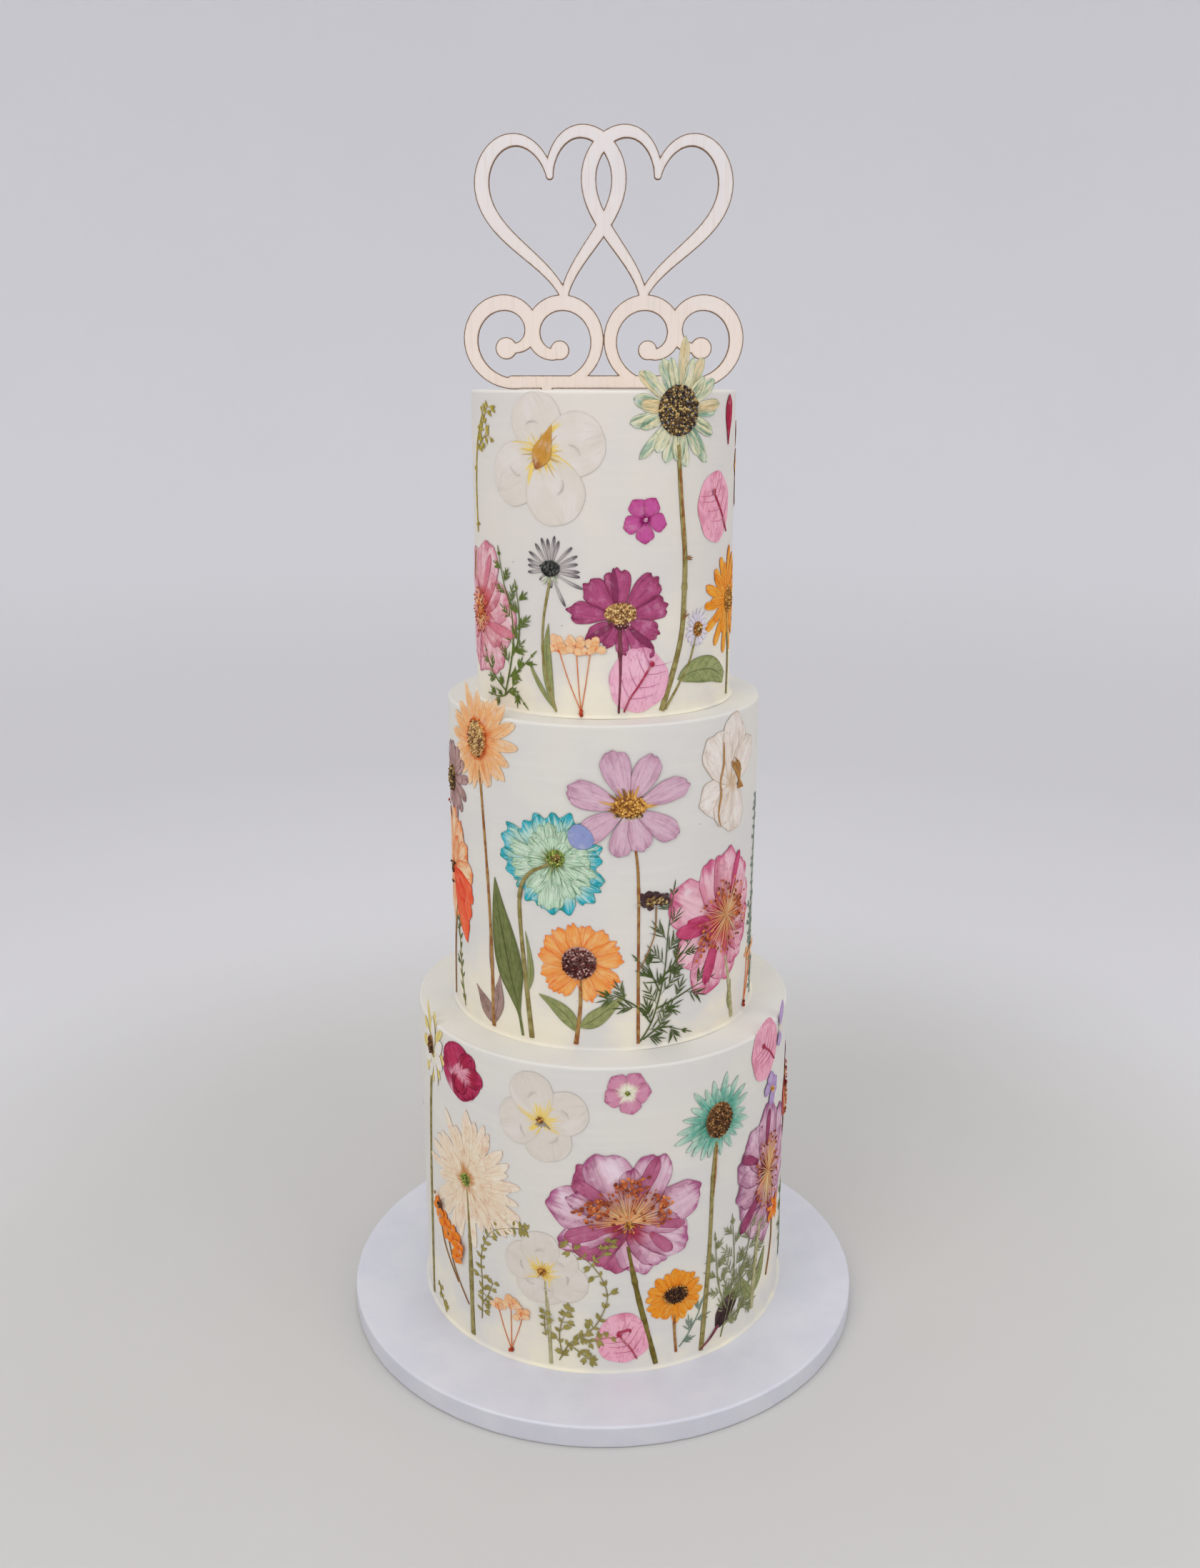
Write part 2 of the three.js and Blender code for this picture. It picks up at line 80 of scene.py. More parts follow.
def paint(look):
    # A colour, as it looks in the studio light, turned into the surface's own linear colour.
    c = np.array([look >> 16 & 255, look >> 8 & 255, look & 255]) / 255.0
    c = np.where(c <= .04045, c / 12.92, ((c + .055) / 1.055) ** 2.4) / lightLevel
    return (*np.clip(c, 0, brightest), 1.0)


def put(tree, kind, inputs=None, **settings):
    # A shader node with its settings; each input takes a number, a colour or a field.
    node = tree.nodes.new(kind)
    for key, value in settings.items():
        setattr(node, key, value)
    for key, value in (inputs or {}).items():
        if isinstance(value, Field):
            tree.links.new(value.socket, node.inputs[key])
        else:
            node.inputs[key].default_value = value
    return node


class Field:
    # A number, colour or place that varies over a surface. Sums with it add Math nodes to its tree.
    def __init__(self, tree, socket):
        self.tree, self.socket = tree, socket

    def via(self, kind, inputs, output=0, **settings):
        return Field(self.tree, put(self.tree, kind, inputs, **settings).outputs[output])

    def math(self, operation, other=.0, **settings):
        return self.via("ShaderNodeMath", {0: self, 1: other}, operation=operation, **settings)

    __add__ = lambda self, other: self.math("ADD", other)
    __sub__ = lambda self, other: self.math("SUBTRACT", other)
    __mul__ = lambda self, other: self.math("MULTIPLY", other)
    __abs__ = lambda self: self.math("ABSOLUTE")

    def under(self, top):
        return self.via("ShaderNodeMath", {0: top, 1: self}, operation="DIVIDE")

    def most(self, other):
        return self.math("MAXIMUM", other)

    def into(self, socket):
        self.tree.links.new(self.socket, socket)

    def step(self, low, high):
        # 0 to 1 as it goes from low to high, eased at both ends.
        return self.via("ShaderNodeMapRange", {"Value": self, "From Min": low, "From Max": high},
                        interpolation_type="SMOOTHSTEP")

    def mix(self, a, b):
        return self.via("ShaderNodeMix", {0: self, 6: a, 7: b}, 2, data_type="RGBA")

    def over(self, colour):
        # This colour laid over another as a clear dye.
        return self.via("ShaderNodeMix", {0: 1.0, 6: self, 7: colour}, 2, data_type="RGBA",
                        blend_type="MULTIPLY")

    def noise(self, scale, detail=3.0, rough=.55):
        return self.via("ShaderNodeTexNoise", {"Vector": self, "Scale": scale, "Detail": detail,
                                               "Roughness": rough})

    def parts(self):
        sockets = put(self.tree, "ShaderNodeSeparateXYZ", {0: self}).outputs
        return [Field(self.tree, socket) for socket in sockets]


def joined(x, y, z):
    return x.via("ShaderNodeCombineXYZ", {0: x, 1: y, 2: z})


def surfaceData(tree, name):
    # The three numbers that a piece keeps at each point under this name.
    return Field(tree, put(tree, "ShaderNodeAttribute", attribute_name=name).outputs["Vector"]).parts()


def placeOn(tree):
    return Field(tree, put(tree, "ShaderNodeTexCoord").outputs["Object"])


def grainOf(tree):
    # The place on the object, in millimetres.
    where = placeOn(tree)
    return where.via("ShaderNodeVectorMath", {0: where, 1: (1 / mm, 1 / mm, 1 / mm)}, operation="MULTIPLY")


def newGroup(name, **inputs):
    # A node group with these inputs: gives its tree and the inputs as fields.
    tree = bpy.data.node_groups.new(name, "ShaderNodeTree")
    for key, value in inputs.items():
        kind = "Float" if isinstance(value, (int, float)) else "Color"
        tree.interface.new_socket(key, in_out="INPUT", socket_type="NodeSocket" + kind).default_value = value
    for key, kind in (("Color", "Color"), ("Roughness", "Float"), ("Height", "Float")):
        tree.interface.new_socket(key, in_out="OUTPUT", socket_type="NodeSocket" + kind)
    sockets = tree.nodes.new("NodeGroupInput").outputs
    return tree, {key: Field(tree, sockets[key]) for key in inputs}


def closeGroup(*results):
    # Joins the colour, the roughness and the height to the group's outputs.
    tree = results[0].tree
    sockets = tree.nodes.new("NodeGroupOutput").inputs
    for result, socket in zip(results, sockets):
        result.into(socket)
    return tree


white = (1.0, 1.0, 1.0, 1.0)


def makePetalGroup():
    # Pressed petal: heart, body and tip colours run along the petal, streaks follow it, the edge is darker,
    # thin patches let the icing through, a petal over another is as dark as both, and painted shade darkens
    # its creases.
    tree, have = newGroup("pressedPetal", Heart=white, Body=white, Tip=white, Vein=white, Other=white,
                          Thin=paint(0xD8D0CA), HeartEnd=.2, TipStart=.8, VeinAmount=.4, VeinScale=7.0,
                          Ragged=.25, OtherAmount=.0, Blotch=.3, BlotchSize=5.0, Edge=.5, Overlap=.5,
                          Wash=.35)
    vein = have["Vein"]
    u, v, seed = surfaceData(tree, "petal")
    layers, creaseShade = surfaceData(tree, "tint")[:2]
    across = u * have["VeinScale"]
    streak = joined(across * .5, v * 1.6, seed * 37.0).noise(1.0, 3.0, .6)
    lines = joined(across, v * 1.1, seed * 53.0).noise(1.0, 2.0)
    along = v + (streak - .5) * have["Ragged"] * 2.0
    heart = along.step(have["HeartEnd"], have["HeartEnd"] * .35)
    side = abs(u)
    wash = (side + (streak - .5) * .9).step(.25, 1.0) * have["Wash"]
    colour = along.step(have["TipStart"], 1.0).most(wash).mix(have["Body"], have["Tip"])
    drift = joined(u * .9, v, seed * 61.0).noise(1.4, 2.0)
    colour = (drift.step(.45, .68) * have["OtherAmount"]).mix(colour, have["Other"])
    colour = heart.mix(colour, have["Heart"])
    line = abs(lines - .5).step(.030, .004)
    colour = (streak.step(.52, .70).most(line) * have["VeinAmount"]).mix(colour, vein)
    grain = grainOf(tree)
    cloud = grain.noise(have["BlotchSize"].under(1.0), 4.0, .6)
    colour = (cloud.step(.50, .72) * have["Blotch"]).mix(colour, have["Thin"])
    colour = (cloud.step(.46, .28) * (have["Blotch"] * .7)).mix(colour, vein)
    rim = side.step(.91, .995).most(v.step(.965, .997))
    colour = (rim * have["Edge"]).mix(colour, vein)
    doubled = layers.math("MINIMUM", 2.0).math("MULTIPLY", have["Overlap"] * .5, use_clamp=True)
    colour = doubled.mix(colour, colour.over(colour))
    # painted shade along creases: the piece's crease shade darkens the colour through the vein colour
    colour = creaseShade.math("MULTIPLY", .5, use_clamp=True).mix(colour, colour.over(vein))
    return closeGroup(colour, streak * .3 + .50, streak * .7 + grain.noise(1.6, 3.0) * .3)


def makeGreensGroup():
    # Leaf or stem: fibres run along it, colour drifts between two greens, with a midrib and side veins.
    tree, have = newGroup("pressedGreens", Body=white, Other=white, Dark=white, Fibre=.5, Midrib=.0,
                          SideVeins=.0, Edge=.3, Patch=4.0)
    dark = have["Dark"]
    u, v, seed = surfaceData(tree, "petal")
    side = abs(u)
    cloud = grainOf(tree).noise(have["Patch"].under(1.0), 3.0)
    fibre = joined(u * 3.5, v * 5.0, seed * 41.0).noise(1.0, 3.0)
    sideVein = abs((v * 7.0 - side * 1.2).math("FRACT") - .5).step(.07, .02)
    colour = cloud.step(.40, .62).mix(have["Body"], have["Other"])
    # painted shade: a piece's crease shade darkens the colour toward the dark green, as on petals
    creaseShade = surfaceData(tree, "tint")[1].math("MULTIPLY", .7, use_clamp=True)
    for amount in (fibre.step(.5, .68) * have["Fibre"], side.step(.09, .03) * have["Midrib"],
                   sideVein * have["SideVeins"], side.step(.70, 1.0) * have["Edge"], creaseShade):
        colour = amount.mix(colour, dark)
    return closeGroup(colour, cloud * .3 + .42, fibre * .6 + sideVein * -.3)


def makeCrowdGroup():
    # Small parts in a crowd, such as florets and anthers: each takes its own tone between three, with painted
    # shade darkening it toward its foot, where its neighbours crowd it.
    tree, have = newGroup("crowd", Light=white, Middle=white, Deep=white, Foot=.3)
    v, seed = surfaceData(tree, "petal")[1:]
    own = seed.via("ShaderNodeTexWhiteNoise", {"W": seed * 913.0}, "Value", noise_dimensions="1D")
    colour = own.step(.25, .45).mix(have["Deep"], have["Middle"])
    colour = own.step(.62, .85).mix(colour, have["Light"])
    # painted shade toward each part's foot, gone by halfway up it; on a disc's base patch it darkens the
    # lower half
    colour = (v.step(.5, .0) * have["Foot"]).mix(colour, have["Deep"])
    return closeGroup(colour, own * .25 + .5, own)


def newMaterial(name, specular):
    material = bpy.data.materials.new(name)
    material.use_nodes = True
    shader = material.node_tree.nodes["Principled BSDF"]
    shader.inputs["Specular IOR Level"].default_value = specular
    return material, material.node_tree, shader


def dress(shader, colour, rough, height, strength=.2, depth=.0004):
    # Joins a finish to its shader: the height becomes a bump as deep as depth, in metres.
    colour.into(shader.inputs["Base Color"])
    rough.into(shader.inputs["Roughness"])
    height.via("ShaderNodeBump", {"Height": height, "Strength": strength,
                                  "Distance": depth}).into(shader.inputs["Normal"])


groups = {"petal": (makePetalGroup(), ("Heart", "Body", "Tip", "Vein")),
          "greens": (makeGreensGroup(), ("Body", "Other", "Dark")),
          "crowd": (makeCrowdGroup(), ("Light", "Middle", "Deep"))}
finishes = {}                                 # made materials by name


def finish(kind, name, *looks, **more):
    # A material from one of the groups: its colours in the group's order, then more of its inputs by name. A
    # whole number is a colour.
    group, names = groups[kind]
    material, tree, shader = newMaterial(name, .12)
    inner = put(tree, "ShaderNodeGroup", node_tree=group)
    for key, value in (dict(zip(names, looks)) | more).items():
        inner.inputs[key].default_value = paint(value) if isinstance(value, int) else value
    dress(shader, *(Field(tree, socket) for socket in inner.outputs))
    finishes[name] = material


def makeMesh(name, points, quads, tris, materials, picks=None, data=None, sharp=40.0):
    # An object from whole arrays: points in metres, faces of four and of three, which material each face
    # picks, and data {name: (n, 3)} kept at points.
    quads, tris = np.asarray(quads, np.int32).reshape(-1, 4), np.asarray(tris, np.int32).reshape(-1, 3)
    mesh = bpy.data.meshes.new(name)
    mesh.vertices.add(len(points))
    mesh.vertices.foreach_set("co", np.asarray(points, np.float32).ravel())
    corners = np.concatenate([quads.ravel(), tris.ravel()])
    mesh.loops.add(len(corners))
    mesh.loops.foreach_set("vertex_index", corners)
    sizes = np.repeat([4, 3], [len(quads), len(tris)])
    mesh.polygons.add(len(sizes))
    mesh.polygons.foreach_set("loop_start", (np.cumsum(sizes) - sizes).astype(np.int32))
    for each in materials:
        mesh.materials.append(each)
    if picks is not None:
        mesh.polygons.foreach_set("material_index", np.asarray(picks, np.int32))
    for key, values in (data or {}).items():
        layer = mesh.attributes.new(key, "FLOAT_VECTOR", "POINT")
        layer.data.foreach_set("vector", np.asarray(values, np.float32).ravel())
    mesh.update(calc_edges=True)
    mesh.validate()
    mesh.polygons.foreach_set("use_smooth", np.ones(len(mesh.polygons), bool))
    if sharp:
        mesh.set_sharp_from_angle(angle=np.radians(sharp))
    thing = bpy.data.objects.new(name, mesh)
    bpy.context.scene.collection.objects.link(thing)
    return thing


def carried(thing, node):
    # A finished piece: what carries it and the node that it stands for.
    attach(thing, "root")
    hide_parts(node)


def gridFaces(rows, cols):
    i = np.arange(rows * cols).reshape(rows, cols)
    return np.stack([i[:-1, :-1], i[:-1, 1:], i[1:, 1:], i[1:, :-1]], -1).reshape(-1, 4)


def tubeFaces(rows, around):
    # Faces between rings of points, and the rings' own numbers.
    i = np.arange(rows * around).reshape(rows, around)
    right = np.roll(i, -1, 1)
    return np.stack([i[:-1], right[:-1], right[1:], i[1:]], -1).reshape(-1, 4), i, right


def rimOf(grid):
    # The outline of a grid's values in order.
    return np.concatenate([grid[0], grid[1:, -1], grid[-1, -2::-1], grid[-2:0:-1, 0]])


def slab(top, under):
    # Two grids, one over the other, closed round their edge: points and faces of four.
    rows, cols = top.shape[:2]
    count = rows * cols
    face = gridFaces(rows, cols)
    rim = rimOf(np.arange(count).reshape(rows, cols))
    after = np.roll(rim, -1)
    wall = np.stack([rim, rim + count, after + count, after], -1)
    points = np.concatenate([top.reshape(-1, 3), under.reshape(-1, 3)])
    return points, np.concatenate([face, face[:, ::-1] + count, wall])


def lathe(name, profile, material, around, sway, data=None):
    # A profile (radius, height) from the lower end of the axis to the upper, turned about Z; its ends close
    # on two poles.
    profile = np.asarray(profile, float)
    turn = np.linspace(0, 2 * np.pi, around, endpoint=False)[None, :] + 0 * profile[:, :1]
    radius, height = sway(profile[:, :1] + 0 * turn, profile[:, 1:2] + 0 * turn, turn)
    points = np.stack([radius * np.sin(turn), -radius * np.cos(turn), height], -1).reshape(-1, 3)
    quads, i, right = tubeFaces(len(profile), around)
    low, high = len(points), len(points) + 1
    points = np.concatenate([points, [[0, 0, height[0].mean()], [0, 0, height[-1].mean()]]])
    tris = np.concatenate([np.stack([right[0], i[0], 0 * i[0] + low], -1),
                           np.stack([i[-1], right[-1], 0 * i[0] + high], -1)])
    return makeMesh(name, points * mm, quads, tris, [material], data=data)


def makeIcing(name, tonesAndFootGlow):
    # Smoothed cream icing: near-white satin, with painted light low down (a brighter, warmer glow of light
    # bounced up from the ledge), faint scraper streaks round it and a few specks and pits.
    material, tree, shader = newMaterial(name, .35)
    grain = grainOf(tree)
    x, y, z = grain.parts()
    scrape = joined(x * .012, y * .012, z * .22).noise(1.0, 4.0)
    share = surfaceData(tree, "share")[0]                  # 0 at the tier's foot, 1 at its top
    # painted light: the "foot" tone, a brighter, warmer glow of bounced light, gives way to the side tone by
    # half the tier's height
    colour = share.step(.0, .5).mix(paint(tonesAndFootGlow["foot"]), paint(tonesAndFootGlow["side"]))
    colour = grain.noise(.022).step(.38, .66).mix(colour, paint(tonesAndFootGlow["cool"]))
    colour = (scrape.step(.50, .66) * .35).mix(colour, paint(tonesAndFootGlow["pale"]))
    cells = put(tree, "ShaderNodeTexVoronoi", {"Vector": grain, "Scale": .055, "Randomness": 1.0}).outputs
    middle, away = Field(tree, cells["Position"]), Field(tree, cells["Distance"])
    pick = middle.via("ShaderNodeTexWhiteNoise", {"Vector": middle}, "Value", noise_dimensions="3D")
    speck = away.step(.034, .018) * pick.math("GREATER_THAN", .62)
    colour = (speck * .6).mix(colour, paint(0x786C60))
    dress(shader, colour, scrape * .22 + .40, scrape * .8 + grain.noise(1.1, 2.0) * .12, .25, .0006)
    return material


def turned(node):
    # The radius and the heights of a round node, in millimetres.
    low, high = (np.array(corner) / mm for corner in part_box(node))
    return {"radius": (high[0] - low[0]) / 2, "low": low[2], "high": high[2]}


tiers = {name: turned("tier_" + name) for name in ("bottom", "middle", "top")}
# Icing tones for each tier; "foot" is painted light, a brighter, warmer glow where light bounces up from the
# ledge.
icing = {
    "bottom": {"foot": 0xE6D9C4, "side": 0xD2CEC5, "cool": 0xCECBC6, "pale": 0xD7D2CA},
    "middle": {"foot": 0xE3D8C4, "side": 0xD1CDC4, "cool": 0xCDCAC5, "pale": 0xD5D1C9},
    "top": {"foot": 0xE4D9C6, "side": 0xD2CCC2, "cool": 0xCEC9C3, "pale": 0xD5CFC6},
}
soft = {"round": 1.7, "sway": .09, "ledge": .25, "cove": 1.6, "sunk": .5, "around": 256}


def makeTier(name, seed):
    # The side, the rounded rim and the top as one profile; the radius sways by a fraction of a millimetre,
    # more along a turn than up it, as a scraper leaves it, and the rim has a faint lip.
    r, low, high = tiers[name].values()
    edge, cove = soft["round"], soft["cove"]               # the icing runs out on the ledge in a small hollow
    corner = np.radians(np.linspace(0, 90, 9))
    sunk = low - soft["sunk"]
    rows = [(k, sunk) for k in np.linspace(r * .1, r - 1, 10)] + [(r + cove, sunk)]
    rows += [(r + cove - cove * np.sin(a), low - .2 + cove - cove * np.cos(a)) for a in corner]
    rows += [(r, z) for z in np.linspace(low + 3, high - 3.2, 40)]
    rows += [(r - edge + edge * np.cos(a), high - edge + edge * np.sin(a)) for a in corner]
    rows += [(k, high) for k in np.linspace(r - edge - 1.5, 2, 16)]

    def sway(radius, height, turn):
        side = np.clip((radius - r * .7) / (r * .25), 0, 1)
        slow = wavy(np.cos(turn) * 2.1, np.sin(turn) * 2.1 + height * .011, seed)
        quick = wavy(np.sin(turn) * 6, height * .05 + np.cos(turn) * 6, seed + 3)
        radius = radius + side * (soft["sway"] * (slow + .45 * quick) - .14)
        lid = np.clip((height - high + .05) / .05, 0, 1) * np.clip((r - radius) / 3, 0, 1)
        swell = wavy(radius * np.sin(turn) * .05, radius * np.cos(turn) * .05, seed + 5) - 1
        return radius, height + lid * soft["ledge"] * swell

    points = np.array(rows)
    share = np.repeat(np.clip((points[:, 1] - low) / (high - low), 0, 1), soft["around"])
    share = np.concatenate([share, [0, 1]])
    thing = lathe("icing_" + name, points, makeIcing(name + "Icing", icing[name]), soft["around"], sway,
                  {"share": np.stack([share, share, share], -1)})
    carried(thing, "tier_" + name)


def makeFoil():
    # Pearly embossed foil: pale lavender grey with small scales, a soft sheen and fine creases.
    material, tree, shader = newMaterial("pearlFoil", .5)
    shader.inputs["Metallic"].default_value = .12
    grain = grainOf(tree)
    weave = grain.via("ShaderNodeTexVoronoi", {"Vector": grain, "Scale": .38, "Smoothness": .4}, "Distance",
                      feature="SMOOTH_F1")
    fine = grain.noise(1.4)
    colour = grain.noise(.03).step(.38, .64).mix(paint(0xC6C6CE), paint(0xCBCBD1))
    colour = (fine.step(.58, .74) * .5).mix(colour, paint(0xDAD9E0))
    dress(shader, colour, fine * .3 + .36, weave * .4 + fine * .3, .3)
    return material


board = {"round": 1.4, "pleats": 150, "depth": .35, "around": 900}


def makeBoard(s):
    # A drum with foil drawn over its edge in small pleats, which deepen down the edge and fade on the top.
    r, low, high = turned("cake_board").values()
    edge = s["round"]
    corner = np.radians(np.linspace(0, 90, 7))
    rows = [(k, low) for k in np.linspace(15, r - edge - 1, 9)]
    rows += [(r - edge + edge * np.sin(a), low + edge - edge * np.cos(a)) for a in corner]
    rows += [(r, z) for z in np.linspace(low + edge + .8, high - edge - .8, 8)]
    rows += [(r - edge + edge * np.cos(a), high - edge + edge * np.sin(a)) for a in corner]
    rows += [(r - edge - k, high) for k in (1, 2.5, 5, 9)] + [(k, high) for k in np.linspace(r - 18, 12, 14)]

    def pleat(radius, height, turn):
        drop = np.clip((high + 2 - height) / (high - low), 0, 1)
        atEdge = np.clip((radius - r + 12) / 12, 0, 1) ** 2
        fold = wavy(turn * s["pleats"] / 6.3, height * .18, 4.0)
        fold = fold + .6 * wavy(turn * s["pleats"] / 2.6, height * .1, 9.0)
        depth = s["depth"] * atEdge * (.25 + .75 * drop)
        sag = .12 * atEdge * np.clip(fold, 0, 1) * (height > 6)
        return radius - depth * np.clip(.55 + .45 * fold, 0, 1.2), height - sag

    carried(lathe("foil_board", rows, makeFoil(), s["around"], pleat), "cake_board")


for number, tierName in enumerate(tiers):
    makeTier(tierName, 2.0 + number)
makeBoard(board)
print("icing and board made")


topperCut = {"top": 667.0, "width": 144.0, "stroke": 6.8, "foot": 3.4, "thick": 3.0, "stakeX": 30.0,
             "stakeWidth": 6.0, "stakeEnd": 506.0, "heart": 35.0, "cell": .5, "char": .42}


def topperStrokes(cut):
    # The ornament's strokes, as points with a width: a base bar, and on each side scrolls, discs and a heart.
    foot = tiers["top"]["high"] + .3 + cut["foot"]
    strokes = [np.stack([np.linspace(-48, 48, 200), np.full(200, foot), np.full(200, cut["stroke"])], -1)]

    def scroll(cx, cz, outer, inner, start, end):
        share = np.linspace(0, 1, 320)
        turn = np.radians(start + (end - start) * share)
        radius = outer + (inner - outer) * share
        width = cut["stroke"] * (.75 + .45 * np.sin(np.pi * share))
        strokes.append(np.stack([side * (cx + radius * np.cos(turn)), cz + radius * np.sin(turn), width], -1))

    for side in (-1, 1):
        scroll(49, foot + 24, 26, 7, -115, 255)
        scroll(24, foot + 23, 24, 8, 265, -110)
        strokes.append(np.array([[side * 51, foot + 17, 11.2], [side * 23, foot + 16, 10.0]]))
        t = np.linspace(0, 2 * np.pi, 700)
        heart, tilt = cut["heart"], -side * .12
        across = heart * np.sin(t) ** 3
        up = 1.25 * heart / 16 * (13 * np.cos(t) - 5 * np.cos(2 * t) - 2 * np.cos(3 * t) - np.cos(4 * t))
        x = side * .74 * heart + across * np.cos(tilt) - up * np.sin(tilt)
        z = cut["top"] - 1.08 * heart + across * np.sin(tilt) + up * np.cos(tilt)
        strokes.append(np.stack([x, z, cut["stroke"] * (.6 + .55 * np.sin(t) ** 2)], -1))
        z = np.linspace(foot, cut["stakeEnd"] + 3, 140)
        point = np.clip((z - cut["stakeEnd"]) / 12, .12, 1)
        strokes.append(np.stack([0 * z + side * cut["stakeX"], z, cut["stakeWidth"] * point], -1))
    return strokes


def makePlywood(char):
    # Pale birch ply: long soft grain, a rosy warmth low down, and a laser's burnt line along each edge.
    material, tree, shader = newMaterial("birchPly", .3)
    grain = grainOf(tree)
    x, y, z = grain.parts()
    fibres = joined(x * .9, y * .9, z * .03).noise(1.0, 4.0)
    colour = z.step(545, 650).mix(paint(0xDECFC4), paint(0xD4CECD))
    colour = (fibres.step(.5, .72) * .45).mix(colour, paint(0xC8BAAE))
    colour = (grain.noise(.04, 2.0).step(.4, .65) * .35).mix(colour, paint(0xDCD4CE))
    near = surfaceData(tree, "edge")[0] + (grain.noise(.5, 2.0) - .5) * .35      # millimetres in from the cut
    colour = (near.step(1.6, .3) * .25).mix(colour, paint(0xC4AA92))
    colour = near.step(char + .22, char - .10).mix(colour, paint(0x705640))
    dress(shader, colour, fibres * .2 + .5, fibres, .2, .0003)
    return material


def makeTopper(cut):
    # The strokes joined by their distance field: at each grid point, the least distance to a stroke's line
    # less half its width. Cells inside are kept, and the border points slide along the field's slope on to
    # the cut.
    step, spare = cut["cell"], 3
    xs = np.arange(-cut["width"] / 2 - spare, cut["width"] / 2 + spare, step)
    zs = np.arange(cut["stakeEnd"] - spare, cut["top"] + spare, step)
    gx, gz = np.meshgrid(xs, zs)
    field = np.full(gx.shape, 1e3)
    for x, z, width in np.concatenate(topperStrokes(cut)):
        reach = width / 2 + 2.5
        i0, i1 = np.searchsorted(xs, [x - reach, x + reach])
        j0, j1 = np.searchsorted(zs, [z - reach, z + reach])
        near = np.hypot(gx[j0:j1, i0:i1] - x, gz[j0:j1, i0:i1] - z) - width / 2
        field[j0:j1, i0:i1] = np.minimum(field[j0:j1, i0:i1], near)
    slopeZ, slopeX = np.gradient(field, step)
    steep = np.maximum(np.hypot(slopeX, slopeZ), .5).ravel()
    slopeX, slopeZ = slopeX.ravel(), slopeZ.ravel()
    within = field < .30 * step
    cells = within[:-1, :-1] & within[:-1, 1:] & within[1:, 1:] & within[1:, :-1]
    quads = gridFaces(*gx.shape)[cells.ravel()]
    sides = quads[:, [0, 1, 1, 2, 2, 3, 3, 0]].reshape(-1, 2)
    code = sides.min(1).astype(np.int64) * gx.size + sides.max(1)
    _, first, times = np.unique(code, return_index=True, return_counts=True)
    border = sides[first[times == 1]]                      # the sides that only one cell has
    onBorder = np.zeros(gx.size, bool)
    onBorder[border.ravel()] = True
    x, z, f = gx.ravel().copy(), gz.ravel().copy(), field.ravel().copy()
    for _ in range(2):
        slide = np.where(onBorder, f / steep, 0)
        x, z = x - slide * slopeX / steep, z - slide * slopeZ / steep
        f = np.where(onBorder, 0, f)
    linked = np.zeros((gx.size, 3))                        # one smoothing of the cut line along itself
    for here, there in (border.T, border.T[::-1]):
        np.add.at(linked, here, np.stack([x[there], z[there], np.ones(len(border))], -1))
    count = np.maximum(linked[:, 2], 1)
    x = np.where(onBorder, .5 * x + .5 * linked[:, 0] / count, x)
    z = np.where(onBorder, .5 * z + .5 * linked[:, 1] / count, z)
    used = np.unique(quads)
    back = np.full(gx.size, -1)
    back[used] = np.arange(len(used))
    count, half = len(used), cut["thick"] / 2
    edge = np.tile(np.clip(-f[used], 0, 9), 2)
    chamfer = np.where(onBorder[used], .25, 0)
    front = np.stack([x[used], -half + chamfer, z[used]], -1)
    rear = np.stack([x[used], half - chamfer, z[used]], -1)
    quads, border = back[quads], back[border]
    wall = np.stack([border[:, 0], border[:, 0] + count, border[:, 1] + count, border[:, 1]], -1)
    faces = np.concatenate([quads, quads[:, ::-1] + count, wall])
    thing = makeMesh("plywood_topper", np.concatenate([front, rear]) * mm, faces, [],
                     [makePlywood(cut["char"])], data={"edge": np.stack([edge, edge, edge], -1)}, sharp=35)
    carried(thing, "topper")


makeTopper(topperCut)
print("topper made")


studio = {"flat": 1.35, "reach": 2.6, "height": 3.4, "table": 0xBBB9B5, "far": 0xCDCBCC,
          "wall": 0xD5D4D7, "cloud": 0xCBCCCF}


def makeStudio(s):
    # Floor and backdrop in one: a flat disc that sweeps up into a round wall, open at the top.
    material, tree, shader = newMaterial("paleBackdrop", .1)
    shader.inputs["Roughness"].default_value = .8
    where = placeOn(tree)
    away = where.via("ShaderNodeVectorMath", {0: where}, "Value", operation="LENGTH")
    colour = away.step(.30, .72).mix(paint(s["table"]), paint(s["far"]))
    colour = where.parts()[2].step(.0, .25).mix(colour, paint(s["wall"]))
    colour = (where.noise(2.2).step(.4, .65) * .10).mix(colour, paint(s["cloud"]))
    colour.into(shader.inputs["Base Color"])
    turn, flat, bend = np.linspace(0, np.pi / 2, 24)[1:], s["flat"], s["reach"] - s["flat"]
    radius = np.concatenate([np.linspace(.02, flat, 12), flat + bend * np.sin(turn), [s["reach"]] * 4])
    height = np.concatenate([np.zeros(12), bend * (1 - np.cos(turn)), np.linspace(1.6, s["height"], 4)])
    radius, height, angle = radius[:, None], height[:, None], np.linspace(0, 2 * np.pi, 129)[None, :]
    points = np.stack([radius * np.sin(angle), -radius * np.cos(angle), height + 0 * angle], -1)
    makeMesh("studio", points.reshape(-1, 3), gridFaces(*points.shape[:2])[:, ::-1], [], [material],
                      sharp=0)


lights = {  # where each lamp is, its size, its power and its colour
    "windowKey": ((-.92, -1.24, 1.464), 1.2, 9.6, (1, 1, .99)),
    "roomFill": ((1.2, -.9, .98), 1.2, 4.55, (.965, .985, 1)),
    "ceiling": ((.1, .2, 2.3), 1.8, 10.8, (1, 1, 1))}
room = {"aim": (0, 0, .32), "colour": (.965, .985, 1, 1), "strength": .68}


